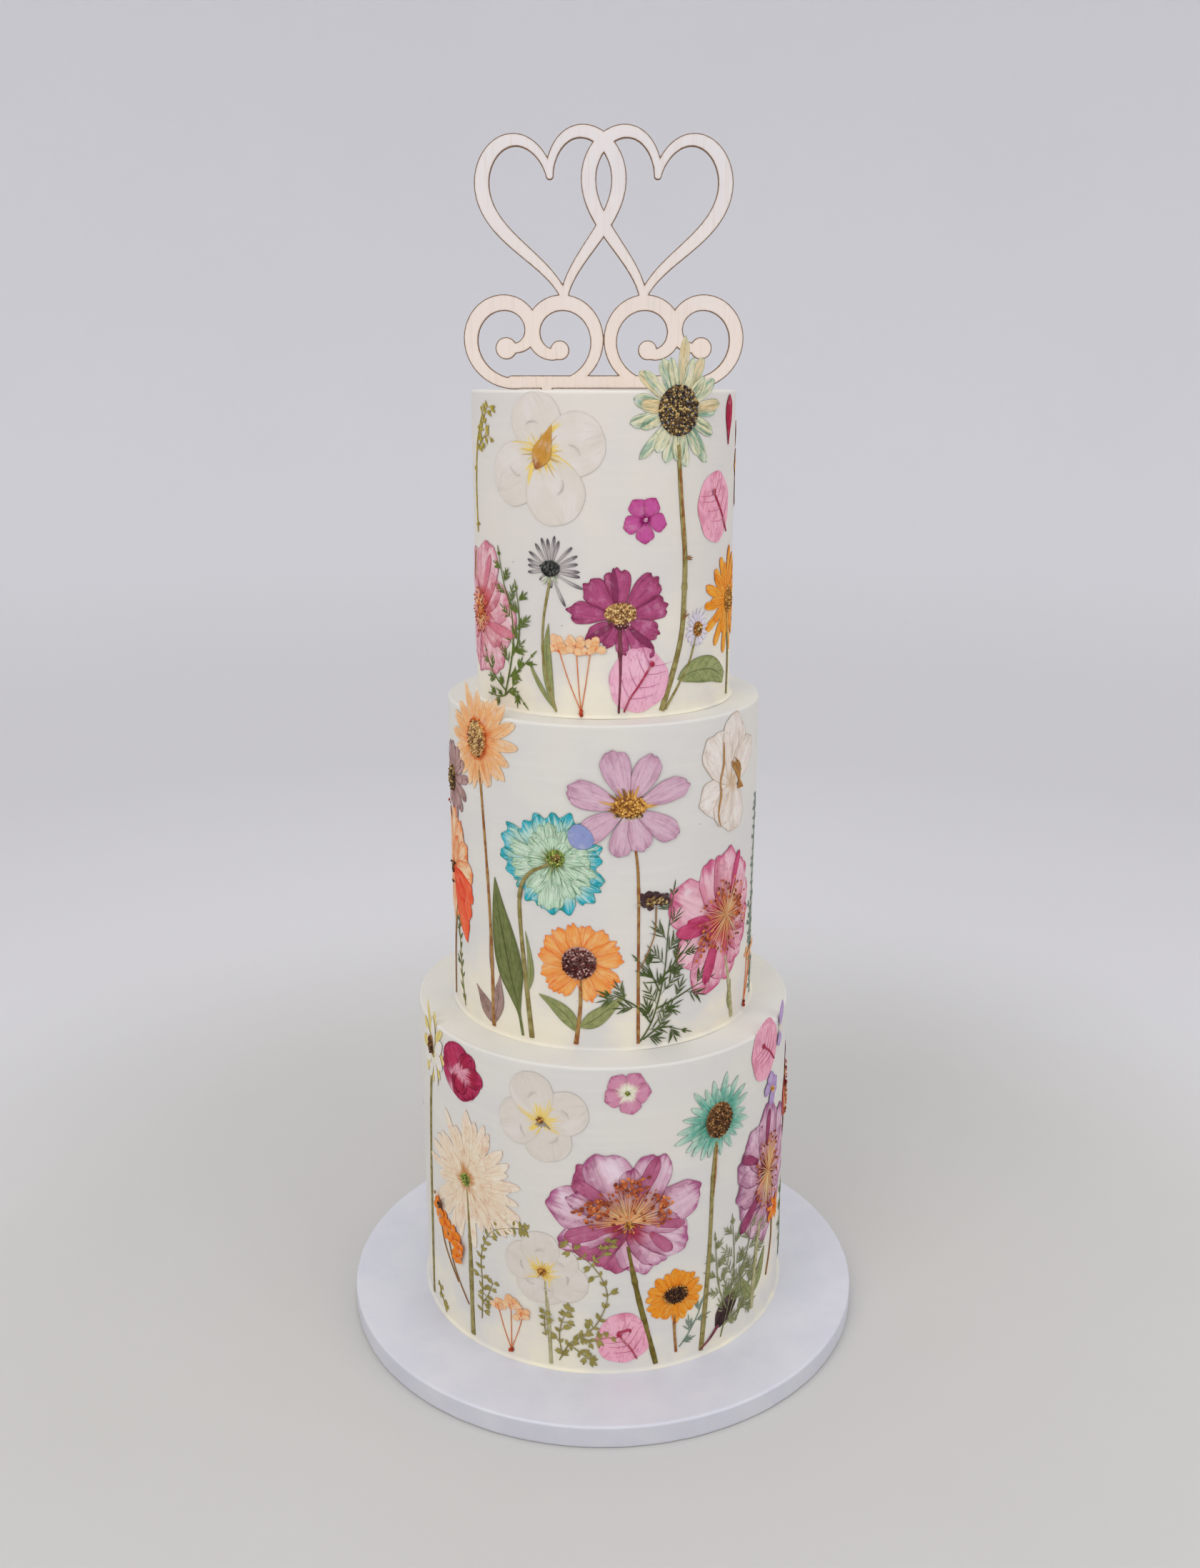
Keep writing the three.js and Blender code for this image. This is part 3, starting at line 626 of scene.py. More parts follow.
def softLight(name, place, size, power, colour):
    lamp = bpy.data.lights.new(name, "AREA")
    lamp.shape, lamp.size, lamp.energy, lamp.color = "DISK", size, power, colour
    thing = bpy.data.objects.new(name, lamp)
    thing.location = place
    thing.visible_camera = False
    thing.rotation_euler = (Vector(room["aim"]) - Vector(place)).to_track_quat("-Z", "Y").to_euler()
    bpy.context.scene.collection.objects.link(thing)


makeStudio(studio)
for name, settings in lights.items():
    softLight(name, *settings)
world = bpy.data.worlds.new("room")
world.use_nodes = True
air = world.node_tree.nodes["Background"].inputs
air["Color"].default_value, air["Strength"].default_value = room["colour"], room["strength"]
bpy.context.scene.world = world
bpy.context.scene.view_settings.view_transform = "Standard"

eye = {"place": (-.0019, -.7937, .5442), "tilt": 74.32, "lens": 33.28}
camera = bpy.data.objects.new("camera", bpy.data.cameras.new("camera"))
camera.data.lens, camera.data.sensor_width, camera.data.clip_start = eye["lens"], 36, .02
camera.location = eye["place"]
camera.rotation_euler = (np.radians(eye["tilt"]), 0, 0)
bpy.context.scene.collection.objects.link(camera)
bpy.context.scene.camera = camera
print("studio and camera made")


# A bunch lies on one tier. Its shapes are drawn flat, as s along the icing, z up and o out from it, and are
# bent round the tier at the end.
draws = np.random.default_rng(7)
seedSpan = 50                                 # seeds for wavy run from 0 to this
goldenAngle = 2.39996                         # between neighbours on a sunflower spiral
lift = {"layer": .085, "petal": .06, "stem": .5, "overStems": .12}


class Bunch:
    def __init__(self, name, tier):
        self.name, self.radius, self.parts, self.layer = name, tiers[tier]["radius"], [], 0

    def flat(self, azimuth, z):
        # A place on the tier, in degrees from the front and millimetres up, as flat s and z.
        return np.array([np.radians(azimuth) * self.radius, z])

    def add(self, points, quads, petal, tint, look, tris=()):
        self.parts.append({"points": points, "quads": np.asarray(quads, int).reshape(-1, 4),
                           "tris": np.asarray(tris, int).reshape(-1, 3), "petal": petal, "tint": tint,
                           "look": look})

    def sheet(self, s, z, top, under, u, v, seed, look, layers=.0, creaseShade=.0):
        # A closed thin sheet from grids of s, z, upper and lower height; u and v run across and along it, and
        # it keeps the layers under it and its painted crease shade.
        same = np.zeros_like(s)
        points, quads = slab(np.stack([s, z, top], -1), np.stack([s, z, under], -1))
        petal = np.stack([u + same, v + same, seed + same], -1).reshape(-1, 3)
        tint = np.stack([layers + same, creaseShade + same, same], -1).reshape(-1, 3)
        self.add(points, quads, np.concatenate([petal, petal]), np.concatenate([tint, tint]), look)

    def finish(self, slot, node):
        # Bends the flat shapes round the tier: s becomes an angle and o adds to the radius.
        looks = sorted({part["look"] for part in self.parts})
        ends = np.cumsum([len(part["points"]) for part in self.parts])
        starts = ends - [len(part["points"]) for part in self.parts]
        faces = [np.concatenate([part[kind] + start for part, start in zip(self.parts, starts)])
                 for kind in ("quads", "tris")]
        picks = [np.full(len(part[kind]), looks.index(part["look"])) for kind in ("quads", "tris")
                 for part in self.parts]
        s, z, o = np.concatenate([part["points"] for part in self.parts]).T
        turn, far = s / self.radius, self.radius + o
        solid = np.stack([far * np.sin(turn), -far * np.cos(turn), z], -1) * mm
        data = {key: np.concatenate([part[key] for part in self.parts]) for key in ("petal", "tint")}
        materials = [finishes[look] for look in looks]
        carried(makeMesh(self.name, solid, *faces, materials, np.concatenate(picks), data), node)


# Each form of petal: its foot's and end's half width as shares of the greatest, where it is widest, how it
# swells, how roundly and how soon it closes, how far the tip's corners fall back, the number and height of
# its teeth, how much it ruffles, how uneven its outline is, and how ragged its tip is.
formParts = ("foot", "end", "wide", "slope", "blunt", "close", "fall", "teeth", "tooth", "ruffle", "uneven",
             "torn")
forms = {name: dict(zip(formParts, row)) for name, row in {
    "ray": (.36, .04, .52, 1.0, 2.2, .62, .0, 0, .0, .5, .06, .03),
    "pointed": (.45, .03, .46, 1.0, 1.7, .75, .0, 0, .0, .6, .10, .04),
    "tongue": (.40, .10, .62, 1.0, 2.6, .55, .02, 0, .0, .5, .07, .03),
    "spoon": (.34, .05, .80, 3.2, 2.0, .50, .0, 0, .0, .4, .06, .03),
    "cosmos": (.15, .70, .76, 1.9, 3.0, .60, .12, 2, .030, .6, .05, .06),
    "blunt": (.17, .60, .74, 1.7, 3.2, .55, .10, 2, .014, .6, .06, .03),
    "notched": (.44, .74, .74, .8, 3.0, .60, .06, 2, .034, .6, .08, .07),
    "strap": (.62, .45, .50, .8, 4.0, .60, .05, 3, .022, .5, .07, .03),
    "kite": (.08, .02, .40, .8, 1.0, 1.0, .0, 0, .0, .2, .03, .01),
    "round": (.26, .03, .55, .8, 2.0, .50, .0, 0, .0, .2, .03, .01),
    "lobe": (.14, .30, .66, 1.5, 2.4, .55, .10, 0, .0, .4, .05, .03),
    "silk": (.24, .70, .60, .9, 3.0, .50, .13, 1, .016, 1.0, .06, .07),
    "frill": (.24, .94, .86, .8, 3.0, .60, .05, 2, .055, .8, .05, .09)}.items()}


def petalGrid(at, angle, length, width, form, seed, bend=.0, squash=(1, 1), cells=(11, 13)):
    # Across, x is u times the half width, which swells from the foot as a quarter wave and closes to the end
    # as a superellipse. Along, y is v times the length, less the corners' fall; teeth push the tip in and
    # out. The whole then turns by angle, clockwise from upright.
    f = forms[form]
    u = np.linspace(-1, 1, cells[0])[None, :]
    v = 1 - (1 - np.linspace(0, 1, cells[1])[:, None]) ** 1.35
    swell = f["foot"] + (1 - f["foot"]) * np.sin(np.pi / 2 * np.clip(v / f["wide"], 0, 1)) ** f["slope"]
    beyond = np.clip((v - f["wide"]) / (1 - f["wide"]), 0, 1)
    closing = np.clip(1 - beyond ** f["blunt"], 0, 1) ** f["close"]
    half = width / 2 * swell * (f["end"] + (1 - f["end"]) * closing)
    x = u * half * (1 + f["uneven"] * wavy(v * 7, u * .6, seed)) + bend * length * v ** 2
    fall = f["fall"] * np.abs(u) ** 2.6 * v ** 3 * (width / length) ** .5 * 1.3
    tooth = f["tooth"] * np.cos(np.pi * f["teeth"] * u + 2.6 * np.sin(seed))
    y = length * (v * (1 - fall) + v ** 5 * (tooth + f["torn"] * wavy(u * 2.7, 0 * v, seed + 1)))
    turn = np.radians(angle)
    s = at[0] + squash[0] * (x * np.cos(turn) + y * np.sin(turn))
    z = at[1] + squash[1] * (y * np.cos(turn) - x * np.sin(turn))
    return s, z, u + 0 * v, v + 0 * u


def flower(bunch, at, petals, look, form="ray", squash=(1, 1), cells=(11, 13), crumple=.05, bend=.03):
    # Petals from the lowest up, each (angle, length, width) with an optional own look, bend or foot. A
    # point's layers are the number of lower petals that it covers: it rests on that many, and looks as deep.
    laidDown = []
    fold = draws.random() * seedSpan
    for angle, length, width, *rest in petals:
        own = rest[0] if rest else {}
        seed = draws.random() * seedSpan
        foot = np.asarray(at, float) + np.asarray(own.get("foot", (0, 0)))
        s, z, u, v = petalGrid(foot, angle, length, width, form, seed, own.get("bend", draws.normal() * bend),
                               squash, cells)
        flatPoints = np.stack([s.ravel(), z.ravel()], -1)
        layers = sum((inside(flatPoints, outline) for outline in laidDown), np.zeros(s.size)).reshape(s.shape)
        laidDown.append(rimOf(np.stack([s, z], -1)))
        ruffle = forms[form]["ruffle"]
        height = bunch.layer + lift["layer"] * np.minimum(layers, 8)
        height = height + crumple * (1 + wavy(s * .5, z * .5, fold))
        height = height + ruffle * .10 * v ** 2 * (1 + wavy(u * 4, v * 2.5, seed + 2))
        ownLook = own.get("look", look)
        if isinstance(ownLook, (list, tuple)):
            ownLook = ownLook[draws.integers(len(ownLook))]
        # painted shade along wavy crease lines across the petal, stronger where it ruffles; the sheet is not
        # folded there
        crease = np.clip(.45 - np.abs(wavy(u * 2.4 + v * .6, v * 1.3, seed + 4)) * 4, 0, 1) * 1.3 * ruffle
        bunch.sheet(s, z, height + lift["petal"], height, u, v, seed / seedSpan, ownLook, layers, crease)
    bunch.layer += lift["layer"] * 4


def toward(degrees):
    # The flat direction of a heading, clockwise from upright.
    turn = np.radians(degrees)
    return np.array([np.sin(turn), np.cos(turn)])


def domed(share):
    # The height of a half circle at this share of its reach.
    return np.sqrt(np.clip(1 - share ** 2, 0, 1))


def ring(count, length, width, start=.0, jitter=.08, foot=.0):
    # Evenly turned petals, each a little off in angle, length and width, with their feet on a small circle.
    petals = []
    for k in range(count):
        angle = start + 360 * k / count + draws.normal() * jitter * 180 / count
        petals.append((angle, (length - foot) * (1 + draws.normal() * jitter),
                       width * (1 + draws.normal() * jitter), {"foot": foot * toward(angle)}))
    return petals


def leafletShape(cols=3, rows=5):
    # A tiny closed lance of length 1 and width 1, domed across, for sprigs and crowds.
    u, v = np.linspace(-1, 1, cols)[None, :], np.linspace(0, 1, rows)[:, None]
    half = .5 * (np.sin(np.pi * np.clip(v, .03, .985) ** .8) * .94 + .06)
    x, y = u * half, v + 0 * u
    points, quads = slab(np.stack([x, y, .5 + .5 * (1 - u ** 2) * np.sin(np.pi * v)], -1),
                         np.stack([x, y, 0 * x], -1))
    data = np.stack([u + 0 * v, v + 0 * u], -1).reshape(-1, 2)
    return points, quads, np.concatenate([data, data]), np.zeros((0, 3), int)


def studShape(sides=6):
    # A small closed bead of radius 1 and height 1, narrower at its foot.
    turn = np.linspace(0, 2 * np.pi, sides, endpoint=False)
    rings = [(.55, 0), (1, .45), (.6, .9)]
    points = [np.stack([r * np.cos(turn), r * np.sin(turn), h + 0 * turn], -1) for r, h in rings]
    points = np.concatenate(points + [[[0, 0, 1], [0, 0, 0]]])
    quads, i, right = tubeFaces(3, sides)
    tris = np.concatenate([np.stack([i[2], right[2], 0 * i[2] + 3 * sides], -1),
                           np.stack([right[0], i[0], 0 * i[0] + 3 * sides + 1], -1)])
    data = np.stack([points[:, 0], points[:, 2]], -1)
    return points, quads, data, tris


shapes = {"leaflet": leafletShape(), "stud": studShape()}


def many(bunch, shape, at, angle, size, height, look, level=.0):
    # Copies of a small shape, each scaled by its size and height and turned clockwise from upright.
    points, quads, data, tris = shapes[shape]
    at = np.atleast_2d(at)
    count, n = len(at), len(points)
    angle, level, height = (np.broadcast_to(np.asarray(value, float), (count,))
                            for value in (np.radians(angle), level, height))
    size = np.broadcast_to(np.asarray(size, float), (count, 2))
    x, y = points[None, :, 0] * size[:, :1], points[None, :, 1] * size[:, 1:]
    c, d = np.cos(angle)[:, None], np.sin(angle)[:, None]
    placed = np.stack([at[:, :1] + x * c + y * d, at[:, 1:] + y * c - x * d,
                       level[:, None] + points[None, :, 2] * height[:, None]], -1)
    step = (np.arange(count) * n)[:, None, None]
    petal = np.concatenate([np.tile(data, (count, 1)), np.repeat(draws.random(count), n)[:, None]], -1)
    bunch.add(placed.reshape(-1, 3), (quads[None] + step).reshape(-1, 4), petal, np.zeros((count * n, 3)),
              look, (tris[None] + step).reshape(-1, 3))


def beads(bunch, at, count, spread, size, look="antherRust", height=1.0, rise=.0):
    # Small beads thrown round a place, thinner to the outside.
    many(bunch, "stud", at + draws.normal(size=(count, 2)) * spread, draws.random(count) * 360, size, height,
         look, bunch.layer + rise)


def fan(bunch, at, count, reach, look, spread=(0, 345), width=.8, height=.2, rise=.0, uneven=.2):
    # Thin lances that fan out from one place.
    turn = np.linspace(*spread, count) + draws.normal(size=count) * 5
    size = np.stack([np.full(count, width), reach * (1 + uneven * draws.normal(size=count))], -1)
    many(bunch, "leaflet", np.tile(at, (count, 1)), turn, size, height, look, bunch.layer + rise)


def pathPoints(path, count):
    line = smoothRow(path, np.linspace(0, 1, count))
    slope = np.gradient(line, axis=0)
    return line, slope / np.maximum(np.linalg.norm(slope, axis=1, keepdims=True), 1e-9)


def ribbon(line, slope, half, u):
    # A band round a line: each row of it lies square across the line.
    return line[:, :1] + u * half * slope[:, 1:], line[:, 1:] - u * half * slope[:, :1]


def stem(bunch, path, width, look, height=None, level=.0, knots=True):
    # A tapering stem along a smooth path: a low dome in section, whose width drifts and swells at knots.
    path = [bunch.flat(*place) for place in path]
    length = np.abs(np.diff(np.array(path), axis=0)).sum()
    rows = int(np.clip(length / 2.2, 6, 60))
    line, slope = pathPoints(path, rows)
    seed = draws.random() * seedSpan
    v = np.linspace(0, 1, rows)
    half = .5 * smoothRow(width, v) * (1 + .10 * wavy(v * length * .22, 0 * v, seed))
    if knots:
        half = half * (1 + .35 * np.exp(-((v - .25 - .4 * (seed % 1)) * length / 2.2) ** 2))
    stray = .35 * wavy(v * length * .045, 0 * v, seed + 1)
    line = line + np.stack([stray, 0 * v], -1) * np.sin(np.pi * v)[:, None]
    u = np.linspace(-1, 1, 7)[None, :]
    s, z = ribbon(line, slope, half[:, None], u)
    tall = np.minimum(lift["stem"] if height is None else height, half[:, None] * 1.1)
    top = level + .08 + tall * domed(u)
    bunch.sheet(s, z, top, level + 0 * top, u, (v * length * .06)[:, None], seed / seedSpan, look)


def leaf(bunch, path, width, look="leafSage", shape=(.10, .55, .9, 1, .88, .62, .32, .04), level=.05,
         cells=(9, 26)):
    # A leaf along a smooth path: the shape sets its width, the blade bows up a little, the midrib is sunk.
    line, slope = pathPoints([bunch.flat(*place) for place in path], cells[1])
    seed = draws.random() * seedSpan
    v = np.linspace(0, 1, cells[1])[:, None]
    u = np.linspace(-1, 1, cells[0])[None, :]
    s, z = ribbon(line, slope, width / 2 * smoothRow(shape, v) * (1 + .05 * wavy(v * 6, u * .7, seed + 1)), u)
    top = level + .12 + .08 * (1 + wavy(s * .3, z * .3, seed)) - .05 * np.exp(-(u / .12) ** 2)
    bunch.sheet(s, z, top, top - lift["petal"], u, v, seed / seedSpan, look)


def along(bunch, path):
    # Gives a function from shares of a path to the place there and its heading in degrees.
    line, slope = pathPoints([bunch.flat(*place) for place in path], 80)
    length = np.linalg.norm(np.diff(line, axis=0), axis=1).sum()

    def look(t):
        run = smoothRow(slope, np.array([t]))[0]
        return smoothRow(line, np.array([t]))[0], np.degrees(np.arctan2(run[0], run[1]))
    return look, length


def leaflets(bunch, blades, height, loose, look, level):
    # Lances from rows of foot, heading and size, lying at slightly different heights.
    feet, turns, sizes = (np.array(column) for column in zip(*blades))
    many(bunch, "leaflet", feet, turns, sizes, height, look, level + .04 + loose * draws.random(len(feet)))


def fern(bunch, path, reach, look, spacing=11.0, level=.05, start=.14, lobe=(.85, 5.0), pairs=3, width=.7,
         slant=44):
    # A feathery frond: side sprays stand by turns on a curved rib, longest below the middle, and each carries
    # pointed lobes of its own that shorten to its end.
    stem(bunch, path, (width * 1.2, width, width * .5), look, .3, level, False)
    place, long = along(bunch, path)
    blades = []
    count = max(3, int(long * (1 - start) / spacing * 2))
    for k in range(count + 1):
        at, heading = place(start + (.97 - start) * k / count)
        spray = reach / 2 * np.sin(np.pi * (.24 + .70 * k / count)) ** .8 * (1 + draws.normal() * .12)
        tilt = heading + (-1 if k % 2 else 1) * (slant + draws.normal() * 7) * (k < count)
        way = toward(tilt)
        blades.append((at, tilt, (lobe[0] * .5, spray)))
        for m in range(pairs):
            spot = at + way * spray * (.22 + .60 * m / pairs)
            blade = lobe[1] * (1.1 - .35 * m / pairs) * (1 + draws.normal() * .14) * min(1, spray / 7)
            for side in (-1, 1):
                turn = tilt + side * (34 + draws.normal() * 8)
                blades.append((spot, turn, (lobe[0] * (.85 + .3 * draws.random()), blade)))
        blades.append((at + way * spray * .75, tilt, (lobe[0], lobe[1] * .95)))
    leaflets(bunch, blades, .16, .06, look, level)


def thyme(bunch, path, look, size=(2.1, 4.4), spacing=6.5, level=.05, spread=54, width=.6,
          stemLook="stemOlive"):
    # A wiry stem with small blunt leaves in pairs, some of them on short twigs, and a crowded tip.
    stem(bunch, path, (width * 1.2, width, width * .6), stemLook, .3, level, False)
    place, long = along(bunch, path)
    blades = []
    count = max(3, int(long / spacing))
    for k in range(count + 1):
        at, heading = place(.06 + .92 * k / count)
        for side in (-1, 1):
            tilt = heading + side * (spread + draws.normal() * 16)
            twig = 3.5 * draws.random() if draws.random() < .4 else .0
            if twig:
                blades.append((at, tilt, (.5, twig + 1)))
            for turn in ((0, 34 * side) if twig > 1.2 or k > count - 2 else (0,)):
                grow = .7 + .5 * draws.random()
                blades.append((at + toward(tilt) * twig, tilt + turn, (size[0] * grow, size[1] * grow)))
    leaflets(bunch, blades, .18, .08, look, level)


def roundPatch(bunch, at, radius, look, outline=None, dome=.3, squash=(1, 1), level=.0, cells=15, under=None,
               turn=.0):
    # A round sheet: a square grid drawn to a disc, x = a * sqrt(1 - b*b/2) and y likewise, times the
    # outline's reach.
    a, b = np.linspace(-1, 1, cells)[None, :], np.linspace(-1, 1, cells)[:, None]
    x, y = a * np.sqrt(1 - b ** 2 / 2), b * np.sqrt(1 - a ** 2 / 2)
    reach = radius * (outline(np.arctan2(x, y)) if outline else 1 + 0 * x)
    rho = np.clip(np.hypot(x, y), 0, 1)
    seed = draws.random() * seedSpan
    c, d = np.cos(np.radians(turn)), np.sin(np.radians(turn))
    s = at[0] + squash[0] * reach * (x * c + y * d)
    z = at[1] + squash[1] * reach * (y * c - x * d)
    top = level + .07 + dome * domed(rho) + .05 * (1 + wavy(s * .5, z * .5, seed))
    bunch.sheet(s, z, top, (level + 0 * top) if under is None else top - under, x, y, seed / seedSpan, look)


def disc(bunch, at, radius, look, count=120, dome=1.0, size=.62, squash=(1, 1), hollow=.0):
    # The eye of a daisy: a low dome crowded with florets on a sunflower spiral.
    if hollow < .3:
        roundPatch(bunch, at, radius * 1.02, look, dome=dome * .8, squash=squash, level=bunch.layer)
    k = np.arange(count) + .5
    share = np.sqrt(hollow ** 2 + (1 - hollow ** 2) * k / count)
    turn = k * goldenAngle
    s = at[0] + squash[0] * radius * share * np.sin(turn) + draws.normal(size=count) * size * .25
    z = at[1] + squash[1] * radius * share * np.cos(turn) + draws.normal(size=count) * size * .25
    grow = size * (.75 + .5 * draws.random(count))
    rise = bunch.layer + dome * .72 * domed(share)
    many(bunch, "stud", np.stack([s, z], -1), np.degrees(turn), np.stack([grow, grow * 1.1], -1),
         .7 + .6 * draws.random(count), look, rise)


def stamens(bunch, at, count, reach, squash=(1, 1), spread=(0, 360), near=.5, thread=.28, bead=.75):
    # Threads fan out from the heart and each ends in a small anther.
    turn = spread[0] + (spread[1] - spread[0]) * (np.arange(count) + draws.random(count)) / count
    far = reach * (near + (1 - near) * np.sqrt(draws.random(count)))
    c = np.radians(turn)
    way = np.stack([squash[0] * far * np.sin(c), squash[1] * far * np.cos(c)], -1)
    rise = bunch.layer + .3 + .5 * draws.random(count)
    many(bunch, "leaflet", np.tile(at, (count, 1)), np.degrees(np.arctan2(way[:, 0], way[:, 1])),
         np.stack([np.full(count, thread), np.linalg.norm(way, axis=1)], -1), .3, "threadPeach", rise)
    grow = bead * (.7 + .7 * draws.random(count))
    many(bunch, "stud", np.asarray(at) + way, turn, np.stack([grow * .8, grow * 1.25], -1), .7, "antherRust",
         rise)


def umbel(bunch, foot, tips, reach=6.5, each=8):
    # Thin stalks rise from one foot to small crumpled florets that crowd into a flat head.
    for azimuth, z in tips:
        middle = ((foot[0] * .45 + azimuth * .55), (foot[1] * .5 + z * .5))
        stem(bunch, [foot, middle, (azimuth, z)], (.62, .5, .6), "stemRed", .4, .1, False)
        petals = [(-100 + 200 * (k + draws.random()) / each, reach * (.6 + .5 * draws.random()), reach * .6,
                   {"foot": draws.normal(size=2) * reach * .22}) for k in range(each)]
        flower(bunch, bunch.flat(azimuth, z), petals, "umbelFloret", "silk", cells=(7, 7))
    knots = bunch.flat(*foot) + draws.normal(size=(5, 2)) * .7
    many(bunch, "stud", knots, 0, (1.0, 1.2), 1.2, "stemKnot", .1)


def drawLine(bunch, line, width, look, level, height=.22):
    # A thin raised line, such as a vein, a crease or a pistil, along flat points.
    line, slope = pathPoints(np.asarray(line, float), max(8, len(line) * 2))
    v = np.linspace(0, 1, len(line))[:, None]
    u = np.linspace(-1, 1, 5)[None, :]
    s, z = ribbon(line, slope, .5 * smoothRow(width, v), u)
    bunch.sheet(s, z, level + .05 + height * domed(u) + 0 * s, level + 0 * s, u, v, draws.random(), look)


def lines(bunch, at, paths, width, look, height=.3):
    for path in paths:
        drawLine(bunch, np.asarray(at) + np.array(path, float), width, look, bunch.layer + .3, height)


def pansy(bunch, at, petals, kite=None, look="pansyWhite", claw=True):
    # Broad petals on one heart, with small bow-shaped creases. A claw or a kite of dried sepals lies on it.
    flower(bunch, at, petals, look, "round", cells=(17, 17), crumple=.03, bend=0)
    for angle, length, width, *_ in petals:
        turn = np.radians(angle + draws.normal() * 8)
        spot = np.asarray(at) + length * .55 * np.array([np.sin(turn), np.cos(turn)])
        tilt = turn + np.pi / 2 + draws.normal() * .5
        sweep = np.linspace(-1, 1, 9)[:, None] * width * .13
        run, side = np.array([np.sin(tilt), np.cos(tilt)]), np.array([np.cos(tilt), -np.sin(tilt)])
        bow = spot + sweep * run + sweep ** 2 * .10 * side
        drawLine(bunch, bow, (.12, .45, .6, .45, .1), "creaseGrey", bunch.layer + .35)
    if kite:
        fan(bunch, at, 26, 10, "pansyRay", (0, 350), .6, .08, uneven=.25)
        flower(bunch, np.asarray(at) - kite[1] * .36 * toward(kite[0]), [kite], "pansyKite", "kite")
    elif claw:
        claws = [(a, 4.5, 1.5) for a in (150, 172, 196, 214)] + [(132, 7.5, 1.3)]
        flower(bunch, at, claws, "pansyClaw", "pointed")
        disc(bunch, at, 1.7, "eyeGold", 16, .8, .5)


def bract(bunch, at, radius, look, stalk, squash=(1, 1), turn=.0, hook=None):
    # A papery round bract: its outline swells a little and comes to a blunt tip, fine veins branch over it
    # and a pistil lies on it.
    def outline(theta):
        tip = .08 * np.exp(-(np.angle(np.exp(1j * theta)) / .5) ** 2)
        return 1 + .03 * np.sin(3 * theta + radius) + .02 * np.sin(7 * theta) + tip
    roundPatch(bunch, at, radius, look, outline, .15, squash, bunch.layer, 25, lift["petal"], turn)
    bunch.layer += .3
    points = np.asarray(at) + np.array(stalk, float)
    way = points[-1] - points[0]
    for k in (.25, .45, .65, .85):
        base = smoothRow(points, np.array([k]))[0]
        for side in (-1, 1):
            swing = np.array([way[1], -way[0]]) * side / np.linalg.norm(way)
            vein = [base, base + swing * radius * .3 + way * .10, base + swing * radius * .62 + way * .26]
            drawLine(bunch, vein, (.34, .26, .1), look + "Line", bunch.layer + .12, .08)
    drawLine(bunch, points, (.9, 1.0, 1.2, .9), "pistil", bunch.layer + .2, .5)
    many(bunch, "stud", points[-1:], 0, (1.5, 1.8), .9, "pistil", bunch.layer + .3)
    if hook:
        drawLine(bunch, at + np.array(hook, float), (1.3, 1.5, 1.1), "pistil", bunch.layer + .2, .5)


flatLaid = (stem, leaf, fern, thyme, umbel)   # these take their own places; the others sit on a piece's heart


def press(name, s):
    # Makes one piece from its settings: parts go down in order, and "at" or "off" moves one off the heart.
    bunch = Bunch(name, s["node"].split("_")[0])
    low = s.get("level", lift["overStems"])
    for how, *rest in s["parts"]:
        own = dict(rest.pop()) if isinstance(rest[-1], dict) else {}
        if how in flatLaid:
            how(bunch, *rest, **own)
            continue
        bunch.layer = max(bunch.layer, low)
        spot = bunch.flat(*own.pop("at", s.get("heart"))) + own.pop("off", (0, 0))
        how(bunch, spot, *rest, **own)
    bunch.finish(s["slot"], s["node"])


silky = {"VeinAmount": .22, "Blotch": .7, "Edge": .6, "Overlap": .7, "Wash": .5}
folded = {"VeinScale": 6.0, "Blotch": .4, "BlotchSize": 6.0}
finish("petal", "pansyWhite", 0xE2C468, 0xD0C8BD, 0xCAC1B6, 0xB8AEA2, Other=0xD8D2CC, HeartEnd=.26,
       VeinAmount=.1, VeinScale=16.0, Ragged=.6, OtherAmount=.5, Blotch=.15, Edge=.35, Overlap=.12, Wash=.2)
finish("petal", "pansyKite", 0x965C28, 0xBE8838, 0xCA9E54, 0x845426, VeinAmount=.35, Edge=.4)
finish("petal", "pansyClaw", 0xC4A03C, 0x968A78, 0x786C5C, 0x605446, VeinAmount=.5, VeinScale=9.0, Edge=.4)
finish("petal", "daisyGreenPetal", 0xA08A58, 0xDAD3B2, 0xCCD1B6, 0x54704E, Other=0x689C8A, HeartEnd=.3,
       VeinAmount=.7, VeinScale=5.0, OtherAmount=.8, Blotch=.5, Edge=.7, Wash=.5)
finish("petal", "daisyPeachTint", 0xB08454, 0xE2C89C, 0xD4CAA8, 0x787646, Other=0x709C90, HeartEnd=.3,
       VeinAmount=.65, VeinScale=5.0, OtherAmount=.4, Edge=.6, Wash=.5)
